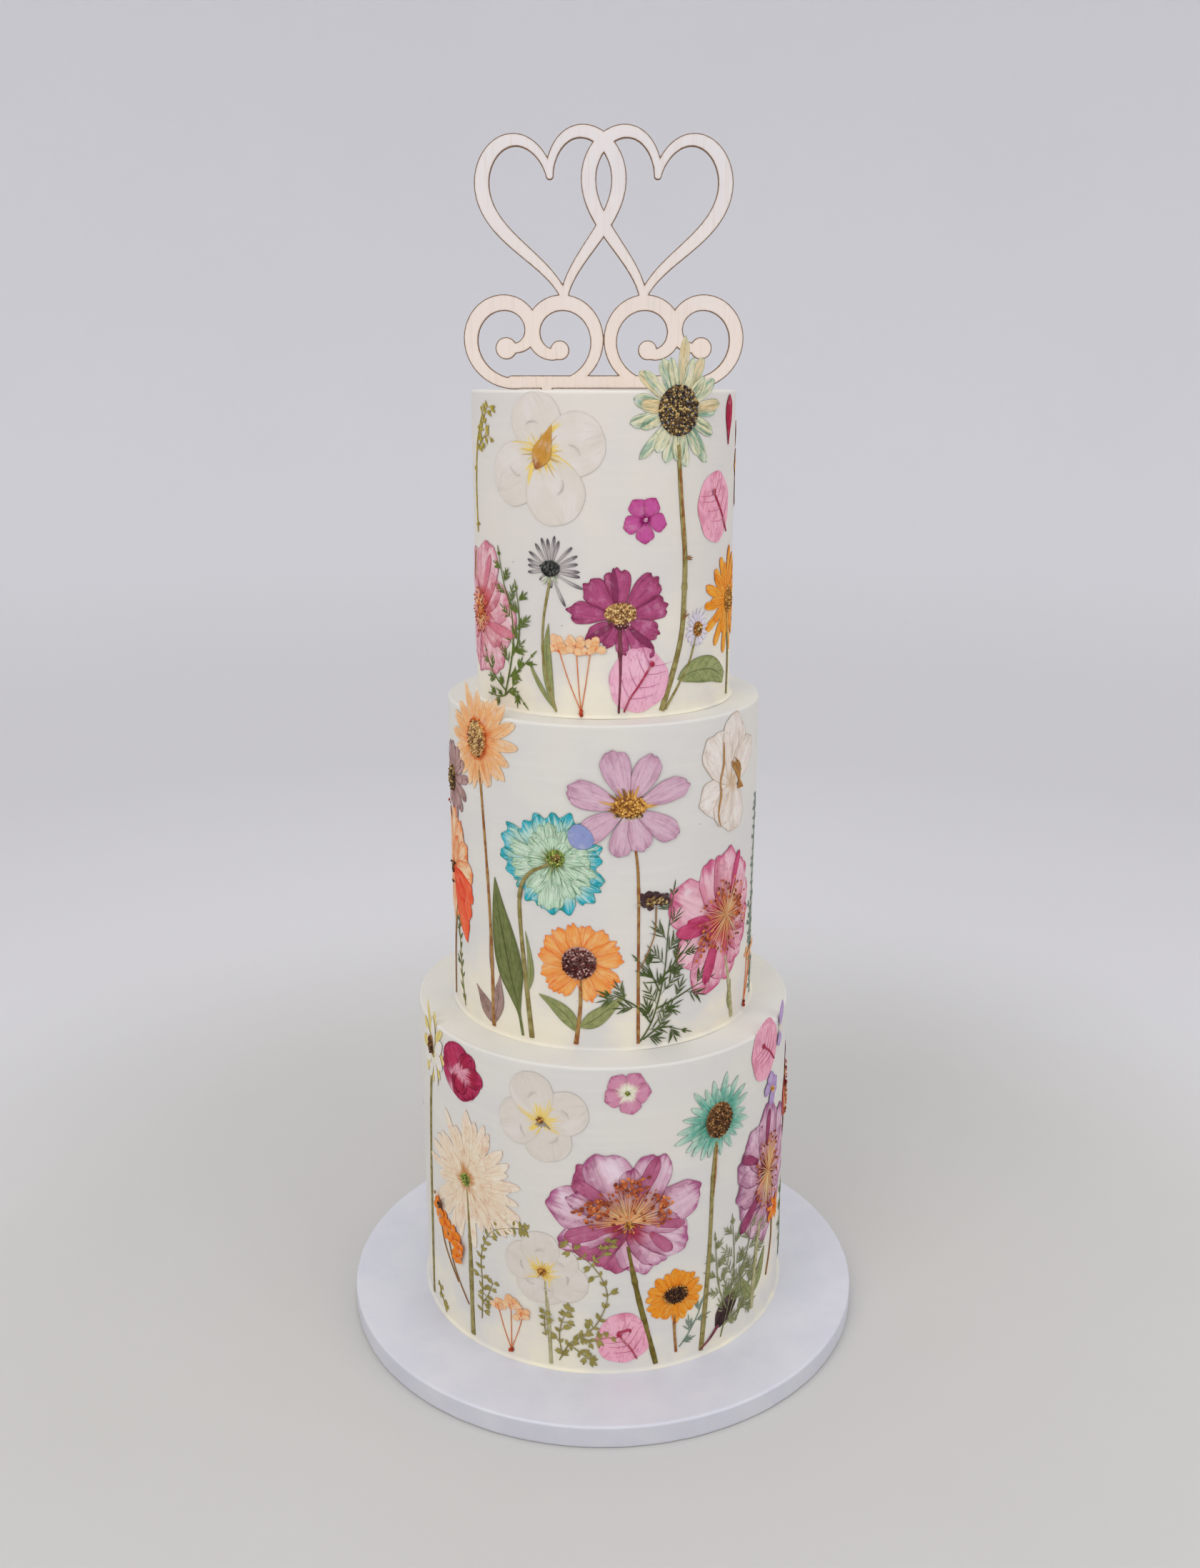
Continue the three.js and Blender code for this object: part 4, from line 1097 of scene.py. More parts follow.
# Crowd finishes: light, middle and deep tones, and how much painted shade darkens each part's foot.
for name, light, middle, dark, foot in (
        ("eyeDark", 0xC6AA70, 0x705434, 0x342A26, .6), ("eyeGold", 0xE0B260, 0xBA843A, 0x764824, .5),
        ("eyeBrown", 0xA67C50, 0x6A4628, 0x3A261A, .6), ("eyeMaroon", 0xC49E96, 0x602C24, 0x3A1818, .6),
        ("eyeGrey", 0x6C6C64, 0x424440, 0x282A2C, .5), ("eyeGreen", 0xC4BE6E, 0x809642, 0x56602C, .5),
        ("antherRust", 0xCE7E4A, 0xAC542E, 0x763220, .3), ("threadPeach", 0xEECC9E, 0xE8B27A, 0xD69260, .2),
        ("daisySmallCup", 0xCECEBA, 0xB2B8A0, 0x969A84, .2), ("pansyRay", 0xE8CC68, 0xDAB858, 0xBC984C, .2),
        ("stemKnot", 0xBE5432, 0xA03824, 0x78241C, .3), ("eyeTan", 0xE6C488, 0xBA8E58, 0x704830, .5),
        ("eyeOrange", 0xF0A054, 0xDC7838, 0xB0542C, .3), ("eyeBlack", 0x785438, 0x36241E, 0x221818, .3),
        ("eyePale", 0xE8C4D2, 0xCE96B2, 0x964674, .3), ("eyeBlue", 0x788296, 0x4E5868, 0x343842, .3)):
    finish("crowd", name, light, middle, dark, Foot=foot)
finish("petal", "phloxMagenta", 0x841258, 0xB8528E, 0xA63A76, 0x6C2252, HeartEnd=.34, VeinAmount=.2,
       VeinScale=8.0, Blotch=.15)
finish("petal", "phloxPink", 0xECE2C8, 0xC6889E, 0xAC6082, 0x8C4066, HeartEnd=.5, VeinAmount=.2,
       VeinScale=9.0, Blotch=.15)
finish("petal", "bractPink", 0xE2A0B2, 0xE4A6B6, 0xD88AA2, 0xB04A6C, Thin=0xEABAC6, VeinAmount=.45,
       VeinScale=3.5, BlotchSize=9.0, Edge=.45, Wash=.4)
finish("petal", "bractVeined", 0xDEA8BA, 0xDEACBC, 0xD492AA, 0xAC5A7E, Thin=0xE4BEC8, VeinScale=4.5,
       BlotchSize=6.0, Edge=.4, Wash=.4)
finish("petal", "pistil", 0x962842, 0xA63854, 0x961E36, 0x781E32, Edge=.4)
finish("petal", "petalCrimson", 0x96143A, 0xAA1C42, 0xA0183C, 0x6E0C28, Blotch=.2, Edge=.4)
finish("petal", "petalMagenta", 0xE2B0BC, 0xBA3A62, 0x941A42, 0x6E0E2E, Thin=0xC66282, HeartEnd=.5,
       VeinAmount=.55, VeinScale=9.0, Blotch=.35, Edge=.7, Overlap=.6, Wash=.6)
finish("petal", "roseSilk", 0xCE6C6C, 0xDAB0B4, 0xC87C8E, 0xA45466, Thin=0xE4D2D4, HeartEnd=.45, **silky)
finish("petal", "asterSpoon", 0xBEB6AC, 0xB2AAA6, 0x4E464C, 0x363038, HeartEnd=.38, TipStart=.58,
       VeinScale=4.0, Blotch=.15, Edge=.85)
finish("petal", "cosmosMagenta", 0xD0A4AA, 0xA64C74, 0x8A3458, 0x601E3A, Thin=0xC4849E, HeartEnd=.3,
       VeinScale=9.0, Blotch=.5, Edge=.7, Overlap=.7, Wash=.4)
finish("petal", "cosmosPale", 0xE4D8C4, 0xCCAAB8, 0xBC90A4, 0x8E6278, Thin=0xD0BCC2, HeartEnd=.3,
       VeinScale=9.0, Blotch=.35, Edge=.7, Overlap=.6, Wash=.5)
finish("petal", "cosmosOverBlue", 0x8692BC, 0x8892BC, 0x808CB6, 0x5C6492, VeinAmount=.2, Edge=.6)
finish("petal", "daisySmallPetal", 0xCEC6CC, 0xDED8DC, 0xCEC6D4, 0x786E8C, VeinAmount=.5, Edge=.6)
finish("petal", "calendula", 0xF4BE54, 0xFA9628, 0xF88816, 0xBE500E, Other=0xFAB85C, Thin=0xFACE8C,
       VeinAmount=.6, VeinScale=5.0, OtherAmount=.6, Blotch=.1, Edge=.3, Overlap=.35, Wash=.3)
finish("petal", "heleniumPetal", 0xF6CC9C, 0xFCA056, 0xFA8E3E, 0xD84E22, Other=0xFABA7E, Thin=0xFAC48E,
       VeinAmount=.6, OtherAmount=.6, Blotch=.25, Edge=.6, Wash=.4)
finish("petal", "carnationFrill", 0xA8C89C, 0xBCD6C6, 0x14A6BC, 0x386E46, Thin=0xD4E0D4, HeartEnd=.35,
       TipStart=.66, VeinAmount=.75, VeinScale=14.0, Ragged=.45, Blotch=.35, BlotchSize=3.0, Edge=.6,
       Overlap=.35, Wash=.25)
finish("petal", "carnationHeart", 0xA6BC7E, 0xC4D8C0, 0xB0CEB0, 0x306032, HeartEnd=.4, TipStart=.75,
       VeinAmount=.8, VeinScale=14.0, Ragged=.4, Blotch=.25, BlotchSize=3.0, Edge=.35, Overlap=.2, Wash=.15)
finish("petal", "daisyPeachPetal", 0xD67438, 0xE4AE76, 0xE8C8A0, 0xC8723A, HeartEnd=.4, TipStart=.6,
       VeinAmount=.65, VeinScale=5.0, Blotch=.35, Edge=.25, Overlap=.4, Wash=.5)
finish("petal", "daisyBrownPetal", 0x785852, 0xB4928C, 0x987674, 0x60443E, VeinAmount=.5, VeinScale=5.0,
       Wash=.5)
finish("petal", "orangeSilk", 0xEC8654, 0xF6C49C, 0xF28E4C, 0xCA4E22, Thin=0xF6CEB6, HeartEnd=.3,
       VeinAmount=.5, VeinScale=8.0, Blotch=.45, Edge=.6, Overlap=.6, Wash=.6)
finish("petal", "freesiaPetal", 0xD4C2AC, 0xDED5CC, 0xD4C9BE, 0xB49E8A, Thin=0xE4DCD4, Blotch=.45, Edge=.7,
       Overlap=.6, Wash=.4)
finish("petal", "freesiaLine", 0xAA783C, 0xB08248, 0xA07442, 0x785028, Edge=.4)
finish("petal", "peonyMagenta", 0xC44C6A, 0xDEB4BC, 0xC45C80, 0xA03C62, Thin=0xE6D0D2, HeartEnd=.45,
       BlotchSize=12.0, **silky)
finish("petal", "peonyRose", 0xB8546C, 0xD6B6C2, 0xA85C86, 0x843658, Thin=0xE4D2D8, HeartEnd=.42,
       BlotchSize=13.0, **silky)
finish("petal", "peonyPurple", 0x963E58, 0xD0AABA, 0x9E6084, 0x6E3054, Thin=0xDEC4CE, HeartEnd=.35,
       BlotchSize=12.0, **silky)
finish("petal", "peonyFold", 0xA0425A, 0xB06280, 0x9C4668, 0x70264A, Thin=0xC08AA0, **folded)
finish("petal", "peonyMagentaFold", 0xB22C54, 0xC04E74, 0xB0365E, 0x881E48, Thin=0xCE829A, **folded)
finish("petal", "peonyPurpleFold", 0x742244, 0x923E60, 0x802E54, 0x541A3C, Thin=0xB07690, **folded)
finish("petal", "dahliaCream", 0xC49662, 0xDFD2BC, 0xE0D6C6, 0xC88E60, Thin=0xE6DECE, HeartEnd=.35,
       VeinAmount=.45, VeinScale=5.0, Blotch=.55, Edge=.3, Overlap=.3, Wash=.2)
finish("petal", "daisyTealPetal", 0x285C4A, 0x68AA96, 0xC6D4C4, 0x226A58, Other=0x328A74, Thin=0xD0D8C8,
       HeartEnd=.5, TipStart=.5, VeinAmount=.55, VeinScale=5.0, OtherAmount=.5, Blotch=.4, Edge=.6, Wash=.3)
finish("petal", "violetPetal", 0xE2D2A0, 0xB096BE, 0xA080B2, 0x785A92, Edge=.6)
finish("petal", "umbelFloret", 0xD87E46, 0xECBE92, 0xE6A670, 0xD68454)
finish("petal", "orangeFloret", 0xD65C1E, 0xF3841E, 0xF37410, 0xBE5016, Edge=.4)
finish("petal", "budDark", 0x40302C, 0x4E3636, 0x422E2E, 0x281C1E, VeinAmount=.6, Blotch=.1)
finish("petal", "whitePetal", 0xD8D2B0, 0xDCD6CC, 0xDED9D0, 0xBAB6B0, VeinScale=6.0, Blotch=.2)
finish("petal", "yellowPetal", 0xAA7832, 0xD6C478, 0xE0D296, 0x967C42, VeinScale=6.0, Blotch=.2, Edge=.45)
finish("petal", "purplePansy", 0xE8C44A, 0x805894, 0x744E8C, 0x4C2C60, HeartEnd=.24, VeinAmount=.45,
       VeinScale=14.0, Ragged=.4, Edge=.55)
finish("petal", "poppyRed", 0x782422, 0xC44238, 0xCE5242, 0x962826, Thin=0xDE8C7C, HeartEnd=.25,
       VeinScale=10.0, Blotch=.4, Overlap=.8)
for name, light, middle, dark, edge in (
        ("stemOlive", 0x968C5A, 0x7E703E, 0x564824, .5), ("stemDeep", 0x766A32, 0x625420, 0x463812, .4),
        ("stemPale", 0xB0AA84, 0x9C9268, 0x766A4C, .5), ("stemBrown", 0x967042, 0x845C38, 0x5A3E28, .4),
        ("stemRusty", 0xA4804A, 0x8A542E, 0x623A22, .4), ("stemRed", 0xD68C58, 0xCC7444, 0xA0462C, .3),
        ("stemPink", 0xBE768A, 0xA05C70, 0x7A3E54, .4), ("stemPurple", 0x7C404C, 0x66343E, 0x46202C, .4),
        ("creaseGrey", 0xC4BEB7, 0xBAB4AC, 0xA49C94, .2),
        ("carnationVein", 0x608260, 0x708E6A, 0x4E6C4E, .3)):
    finish("greens", name, light, middle, dark, Edge=edge)
finish("greens", "leafSage", 0x909260, 0x828856, 0x525832, Fibre=.3, Midrib=.8, SideVeins=.35)
finish("greens", "leafBright", 0x949866, 0x848C58, 0x4A5430, Fibre=.3, Midrib=.6, SideVeins=.5, Edge=.35)
finish("greens", "leafDark", 0x707646, 0x646C3C, 0x404622, Fibre=.3, Midrib=.8, SideVeins=.35, Edge=.35)
finish("greens", "leafBrown", 0x9E827A, 0x886E62, 0x624A44, Fibre=.4, Midrib=.6, Edge=.4)
finish("greens", "fernGreen", 0x62722E, 0x526224, 0x38461A, Fibre=.4)
finish("greens", "fernDark", 0x3E4C22, 0x546030, 0x2A3218, Fibre=.4)
finish("greens", "fernGrey", 0x72784C, 0x8A8C62, 0x484E2C, Fibre=.4)
finish("greens", "thymeGreen", 0x9A8E50, 0x867C40, 0x5E562C, Fibre=.3)
finish("greens", "sprigOlive", 0xB09E40, 0x968636, 0x6E6028, Fibre=.3)
finish("greens", "fernBlue", 0x708070, 0x849080, 0x48564C, Fibre=.3)
finish("petal", "bractPinkLine", *[0xBA5C7A] * 4, Edge=.4)
finish("petal", "bractVeinedLine", *[0xB6628E] * 4, Edge=.4)
finish("petal", "roseFold", 0xC05662, 0xCA7886, 0xBE6678, 0x9A4056, Thin=0xD6A4AA, **folded)
finish("petal", "cosmosMagentaFold", 0x762C4A, 0x823456, 0x782E50, 0x541A36, Blotch=.2)
finish("petal", "orangeRed", 0xEE764C, 0xF06E46, 0xEE5430, 0xCE3C24, Thin=0xF3AA88, HeartEnd=.3,
       VeinAmount=.5, VeinScale=8.0, Blotch=.4, Overlap=.6, Wash=.5)
print("finishes made:", len(finishes))


# The top tier: each piece is one dictionary of settings, with its parts from the lowest up.
press("pansy_white_top", {"node": "top_pansy_white", "slot": "petal_white", "heart": (-25.8, 508), "parts": [
    (pansy, [(-14, 30, 29), (-122, 35, 32), (75, 33, 31), (162, 36, 32)], {"kite": (24, 23, 11)})]})

press("daisy_green", {"node": "top_daisy_green", "slot": "petal_cream", "heart": (31.8, 528.4), "parts": [
    (stem, [(31.8, 512), (33.8, 482), (35.9, 457), (35.8, 437), (33.8, 412), (25.3, 378.5)],
        (2.4, 3.0, 3.3, 3.4), "stemOlive"),
    (stem, [(32.6, 500), (34.4, 475), (35.2, 455)], (1.2, 1.0, .5), "stemRusty", {"level": .45}),
    (flower, ring(13, 29, 6.8, 5, .11, 4) + ring(11, 27, 6.2, 19, .14, 4),
        ["daisyGreenPetal", "daisyGreenPetal", "daisyPeachTint"], "tongue"),
    (disc, 11.4, "eyeDark", 330, 1.6, .62, {"squash": (1, 1.05)}),
    (disc, 11.8, "eyeBlue", 60, 1.6, .6, {"squash": (1, 1.05), "hollow": .35}),
    (fan, 3, 5, "stemBrown", (70, 110), .9, .5, {"at": (36.3, 456)}),
    (fan, 2, 6, "stemBrown", (30, 60), .9, .5, {"at": (34.8, 425)})]})

press("phlox_magenta", {"node": "top_phlox_magenta", "slot": "petal_magenta", "heart": (17, 476), "parts": [
    (flower, [(a, 11.8, 9.6) for a in (-30, 28, 98, 180, -105)], "phloxMagenta", "lobe"),
    (disc, 1.0, "eyePale", 9, .5, .3)]})

press("bract_pink_top", {"node": "top_bract_pink", "slot": "petal_pink", "heart": (55, 480), "parts": [
    (bract, 17, "bractPink", [(11, -13), (6, -4), (0, 4), (-3, 8)], {"squash": (.88, 1.02)})]})

press("petal_red", {"node": "top_petal_red", "slot": "petal_red", "heart": (66, 511), "parts": [
    (flower, [(2, 25, 9), (-3, 23, 5)], "petalCrimson", "lobe")]})

press("rose_pink", {"node": "top_rose_pink", "slot": "petal_pink", "heart": (-66.5, 425.5), "parts": [
    (stem, [(-66.5, 423), (-69, 408), (-70, 392)], (2.0, 2.4, 3.0), "stemPink"),
    (flower, [(178, 32, 26), (-150, 30, 26), (146, 35, 26), (-108, 26, 26), (104, 34, 25), (72, 28, 22),
        (44, 26, 20), (-24, 34, 24), (14, 37, 26), (-64, 26, 24), (128, 26, 13)], "roseSilk", "silk",
        {"cells": (19, 19)}),
    (flower, [(100, 24, 6, {"foot": (8, -6)}), (24, 22, 5, {"foot": (4, 10)})], "roseFold"),
    (stamens, 44, 12, {"bead": .5, "near": .3}),
    (beads, 24, (3, 3), (.9, 1.2), {"rise": .4}),
    (fern, [(-47.5, 383), (-44, 398), (-42, 412), (-42.5, 428), (-47, 442), (-50, 457)], 24, "fernGreen", 13,
        {"level": .35, "lobe": (.8, 4.4)}),
    (fern, [(-43, 404), (-38.5, 414), (-38, 428), (-39.5, 440)], 18, "fernGreen",
        {"level": .4, "lobe": (.8, 4.4)})] + [
    (fern, path, width, "fernGreen", {"level": .3, "lobe": (.8, 4.4)}) for path, width in (
        ([(-47, 386), (-53, 391), (-58, 396), (-62, 404)], 17),
        ([(-46.5, 384), (-42, 388), (-36.5, 381.5)], 14),
        ([(-44, 394), (-38, 399), (-32, 406)], 13), ([(-48, 383), (-52, 382), (-57, 382)], 11))] + [
    (stem, [(-74, 456), (-76, 448), (-77, 440)], (3.6, 4.6, 2.0), "stemBrown")]})

press("aster_violet", {"node": "top_aster_violet", "slot": "petal_violet", "heart": (-22.5, 451), "parts": [
    (stem, [(-22.5, 447), (-26, 425), (-26, 405), (-20.5, 378.5)], (1.5, 1.3, 1.5, 1.4), "stemOlive"),
    (leaf, [(-21.5, 380), (-24, 396), (-24.5, 412), (-23.5, 424)], 5.5),
    (leaf, [(-21, 379.5), (-26, 388), (-31, 398), (-33, 404)], 2.6),
    (flower, [(a, length, 1.75, {"bend": bend}) for a, length, bend in ((-54, 15, 0), (-33, 15.5, 0),
        (-17, 16.5, 0), (-5, 15.5, 0), (8, 17, 0), (18, 15.5, 0), (42, 16.5, .05), (59, 16, .06),
        (74, 15, .05), (90, 15.5, .04), (103, 16, -.03), (124, 19, -.10), (161, 20, -.08), (-70, 14, 0),
        (-84, 13, .05), (-100, 13, .05), (178, 9, 0), (-132, 8, 0))], "asterSpoon", "spoon"),
    (fan, 12, 6, "daisySmallCup", (120, 240), 1.2, .1, {"off": (0, -1.5)}),
    (disc, 5.0, "eyeGrey", 90, .9, .55, {"squash": (1, .8), "off": (0, .8)})]})

press("cosmos_magenta", {
    "node": "top_cosmos_magenta", "slot": "petal_magenta", "heart": (6.8, 428), "parts": [
    (stem, [(6.5, 424), (6.8, 400), (6.3, 378.5)], (3.0, 1.8, 1.2), "stemPurple"),
    (flower, [(178, 20, 7), (-154, 17, 7), (-126, 20, 10), (145, 27.5, 11), (112, 22, 10), (-82, 26.5, 12),
        (77, 26, 12.5), (-44, 25, 13.5), (43, 27.5, 14), (-2, 25, 13.5)], "cosmosMagenta", "cosmos",
        {"cells": (19, 17)}),
    (flower, [(-6, 20, 3, {"foot": (-2, 5)}), (132, 16, 3.5, {"foot": (5, -6)}),
        (-118, 15, 3.5, {"foot": (-4, -4)})], "cosmosMagentaFold"),
    (disc, 7.2, "eyeTan", 130, 1.4, .66, {"squash": (1.1, .72), "off": (0, 2)}),
    (beads, 30, (2.4, .8), (.8, .9), "eyeMaroon", .8, {"off": (0, -3.6)})]})

press("umbel_orange_top", {"node": "top_umbel_orange", "slot": "petal_orange", "parts": [
    (umbel, (-9.5, 379), [(-19, 411), (-11.5, 413), (-5.5, 410)])]})

press("bract_veined", {"node": "top_bract_veined", "slot": "petal_pink", "heart": (15, 395), "parts": [
    (bract, 16, "bractVeined", [(-8, -16), (-5, -9), (0, -2), (5, 6), (6.5, 8.5)],
        {"squash": (1, 1.02), "turn": 10})]})

press("daisy_small", {"node": "top_daisy_small", "slot": "petal_white", "heart": (43.5, 419), "parts": [
    (stem, [(42.5, 415), (39, 402), (27, 379)], (1.1, 1.1, 1.5), "stemOlive"),
    (leaf, [(33, 394), (42, 397), (54, 396), (66, 389)], 14, "leafBright",
        (.04, .5, .82, .98, 1, .92, .7, .42), {"cells": (15, 26)}),
    (flower, ring(17, 10.4, 1.9, 0, .1, 1.5) + ring(15, 9.2, 1.8, 10, .1, 1.5), "daisySmallPetal",
        {"squash": (.8, 1), "cells": (5, 8)}),
    (disc, 3.8, "eyeGold", 36, .9, .5, {"squash": (.8, 1)}),
    (disc, 1.9, "eyeDark", 18, 1.4, .5, {"squash": (.7, 1)})]})

press("calendula_top", {"node": "top_calendula_orange", "slot": "petal_orange", "heart": (69, 431), "parts": [
    (stem, [(68, 425), (72, 400), (71.5, 378.8)], (1.5, 1.6, 2.0), "stemOlive"),
    (flower, ring(15, 27, 5.6, 0, .08, 3) + ring(11, 20, 4.8, 12, .08, 2), "calendula", "strap"),
    (disc, 6, "eyeGold", 90, 1.2, .55, {"squash": (.85, 1.2)})]})

press("sprig_olive_top", {"node": "top_sprig_olive", "slot": "sprig_olive", "parts": [
    (thyme, [(-70, 466), (-71, 490), (-68, 512), (-62, 526)], "sprigOlive", (1.1, 2.4), 11,
        {"width": 1.1, "stemLook": "sprigOlive"}),
    (thyme, [(-66, 513), (-61, 523), (-57, 530)], "sprigOlive", (1.6, 4.4), 4.5,
        {"level": .2, "stemLook": "sprigOlive"}),
    (thyme, [(-68, 508), (-62, 514), (-57, 516)], "sprigOlive", (1.5, 3.8), 4.5,
        {"level": .2, "stemLook": "sprigOlive"})]})
print("top tier's flowers made")

# The middle tier.
press("daisy_peach", {"node": "middle_daisy_peach", "slot": "petal_peach", "heart": (-49.5, 361), "parts": [
    (stem, [(-49, 345), (-46.5, 300), (-44.5, 250), (-44, 201)], (1.6, 1.7, 2.2, 3.0), "stemRusty"),
    (leaf, [(-44.2, 203), (-48, 211), (-54, 221)], 10, "leafBrown", (.2, .5, .8, 1, .9, .55, .2, .04)),
    (leaf, [(-43.8, 203), (-41.5, 217), (-40.3, 233)], 9, "leafBrown", (.2, .5, .8, 1, .9, .55, .2, .04)),
    (leaf, [(-44.2, 230), (-44.6, 242), (-45.2, 256)], 3.4, "leafBrown"),
    (flower, ring(16, 27.5, 6.6, 0, .10, 3) + ring(14, 26, 6.0, 11, .14, 3), "daisyPeachPetal", "ray"),
    (disc, 7.4, "eyeTan", 170, 1.5, .6, {"squash": (.95, 1.35), "off": (-.5, 1)}),
    (disc, 8.4, "eyeOrange", 60, 1.2, .55, {"squash": (.95, 1.35), "off": (-.5, 1), "hollow": .86})]})

press("daisy_brown", {"node": "middle_daisy_brown", "slot": "petal_purple", "heart": (-71.5, 333), "parts": [
    (flower, ring(13, 21, 6.0, 0, .06, 3) + ring(11, 19, 5.6, 14, .08, 3), "daisyBrownPetal", "strap"),
    (disc, 5.6, "eyeDark", 90, 1.6, .6, {"squash": (.9, 1.3)})]})

press("flower_orange", {
    "node": "middle_flower_orange", "slot": "petal_orange", "heart": (-73, 280), "parts": [
    (stem, [(-70, 260), (-76, 235), (-79.5, 200.8)], (2.0, 2.0, 2.4), "stemBrown"),
    (thyme, [(-64, 202), (-67, 220), (-68, 236), (-69, 251)], "fernGreen", (1.4, 6), 6, {"spread": 34}),
    (flower, [(-160, 26, 16), (-110, 24, 16), (-60, 26, 16), (-24, 34, 14), (178, 30, 15), (4, 38, 14),
        (28, 33, 15), (56, 28, 15), (86, 27, 15), (112, 29, 15, {"look": "orangeRed"}),
        (134, 34, 14, {"look": "orangeRed"}), (152, 40, 13, {"look": "orangeRed"}), (20, 22, 9),
        (128, 22, 9, {"look": "orangeRed"})], "orangeSilk", "silk", {"cells": (15, 17)}),
    (beads, 20, (2.5, 3.5), (.8, .9), "eyeBrown", {"rise": .3})]})

press("carnation_turquoise", {
    "node": "middle_carnation_turquoise", "slot": "petal_turquoise", "heart": (-17.5, 303.5), "parts": [
    (stem, [(-19, 300), (-26, 296), (-30.5, 284), (-30.5, 262), (-26.5, 201)], (1.6, 2.0, 2.2, 2.5, 3.0),
        "stemOlive"),
    (leaf, [(-28.6, 226), (-26.8, 236), (-27, 248), (-28.6, 262)], 4.0),
    (flower, [(20, 26, 18), (62, 24, 17), (98, 24, 18), (130, 28, 19), (172, 28, 19), (-146, 27, 17),
        (-106, 28, 18), (-72, 31, 19), (-36, 26, 17), (-8, 25, 17), (118, 26, 13), (42, 24, 13)],
        "carnationFrill", "frill", {"squash": (1.04, .98), "cells": (29, 17)}),
    (flower, ring(11, 20, 11, 20, .12, 2) + ring(8, 13.5, 8, 0, .12, 1), "carnationHeart", "frill",
        {"squash": (1.04, .98), "cells": (15, 11)}),
    (fan, 46, 9, "carnationVein", (0, 352), .45, .12, {"uneven": .3, "rise": -.1}),
    (lines, [[(1, -1), (-6, -4), (-13, -8), (-18, -15), (-19.8, -23)]], (1.4, 1.8, 2.2, 2.3), "stemOlive",
        .5),
    (fan, 26, 6, "leafSage", (0, 350), 1.0, .35, {"rise": .2, "uneven": .3}),
    (disc, 4.6, "eyeGreen", 70, 1.2, .6, {"off": (1.5, 1.5)}),
    (disc, 2.8, "eyeBrown", 28, 1.5, .55, {"off": (2, 1.6)})]})

press("cosmos_pale", {
    "node": "middle_cosmos_pale", "slot": "petal_pale_pink", "heart": (8.6, 332.5), "level": .6, "parts": [
    (stem, [(8.7, 326), (11, 310), (12, 290), (12.2, 240), (12.4, 201)], (1.3, 1.4, 1.5, 1.6, 2.0),
        "stemRusty"),
    (flower, [(-167, 26.5, 12), (160, 24.5, 12.5), (120, 31.5, 13.5), (-119, 29.5, 13.5), (68, 34, 12.5),
        (-73, 33.5, 15), (24, 30.5, 14), (-19, 32, 15)], "cosmosPale", "blunt", {"cells": (15, 17)}),
    (disc, 8.4, "eyeGold", 150, 1.4, .7, {"squash": (1.05, .62), "off": (0, 1)}),
    (fan, 24, 10.5, "eyeGold", (-100, 100), 1.5, .5, {"rise": .1}),
    (beads, 30, (3.4, .7), (.9, .9), "eyeDark", .8, {"off": (0, -3.6)}),
    (flower, [(-66, 14, 13, {"bend": .1})], "cosmosOverBlue", "round", {"off": (-18.5, -18.5),
        "cells": (13, 13)})]})

press("freesia_cream", {"node": "middle_freesia_cream", "slot": "petal_cream", "heart": (52, 337), "parts": [
    (flower, [(-112, 26, 22), (-36, 35, 23), (6, 38, 22), (178, 26, 22), (40, 30, 20), (-150, 23, 17)],
        "freesiaPetal", "silk", {"cells": (15, 15)}),
    (lines, [[(-9, 24), (-8.5, 12), (-11, 3), (-10, -4), (-12, -14), (-10, -22)]], (.3, 1.2, .9, 1.1, .9, .2),
        "freesiaLine"),
    (lines, [[(5 + k * 1.3, -4), (7 - k * 2.2, 8 + k), (1 + k * 1.8, 14 - k * 2)] for k in range(5)],
        (.8, 1.0, .2), "freesiaLine")]})

press("peony_magenta", {
    "node": "middle_peony_magenta", "slot": "petal_magenta", "heart": (48.6, 261.5), "parts": [
    (stem, [(50, 240), (53, 222), (55.5, 200.8)], (2.2, 2.6, 3.4), "stemPale"),
    (leaf, [(55, 204), (53.4, 213), (54, 224)], 4.5),
    (flower, [(176, 36, 25), (150, 31, 22), (120, 29, 24), (88, 27, 22), (60, 30, 22), (-118, 38, 21),
        (-154, 42, 27), (30, 36, 22), (-64, 44, 29), (-20, 38, 23), (5, 40, 21)], "peonyMagenta", "silk",
        {"cells": (21, 21)}),
    (flower, [(70, 18, 5, {"foot": (-32, -3)}), (-155, 20, 5, {"foot": (-6, -16)}),
        (18, 24, 5, {"foot": (6, 14)}), (100, 16, 8, {"foot": (-27, 4)}), (-165, 24, 7, {"foot": (-8, -10)}),
        (-92, 26, 9, {"foot": (-8, 0)})], "peonyMagentaFold", "tongue", {"cells": (9, 13)}),
    (stamens, 64, 21, {"off": (1, 3), "bead": .8})] + [
    (beads, count, spread, (.9, 1.2), {"off": off, "rise": .5}) for count, spread, off in (
        (22, (3.2, 4.6), (-16, -9)), (14, (3.0, 5.0), (13, 2)), (10, (5.0, 2.4), (-2, 15)))]})

press("helenium_orange", {
    "node": "middle_helenium_orange", "slot": "petal_orange", "heart": (-8.6, 247.5), "parts": [
    (stem, [(-8, 240), (-8.2, 222), (-9.8, 201)], (1.4, 2.0, 2.6), "stemRusty"),
    (leaf, [(-9.2, 208), (-12.5, 216), (-18, 223), (-23.5, 227.5)], 8.5),
    (leaf, [(-8.4, 211), (-4, 215), (2, 222), (8, 230)], 9),
    (flower, [(14, 21.5, 9.4), (38, 22, 9.6), (62, 23, 9.6), (86, 23, 8.6), (118, 23, 9.6), (141, 22, 9.6),
        (164, 22, 8.6), (206, 21, 9.4), (230, 22, 9.6), (254, 22, 9), (278, 22, 9.6), (302, 22, 9.6),
        (325, 22, 9.4), (348, 21, 8.2)], "heleniumPetal", "notched", {"cells": (17, 15)}),
    (disc, 9, "eyeMaroon", 200, 1.8, .62, {"off": (0, .3)})]})

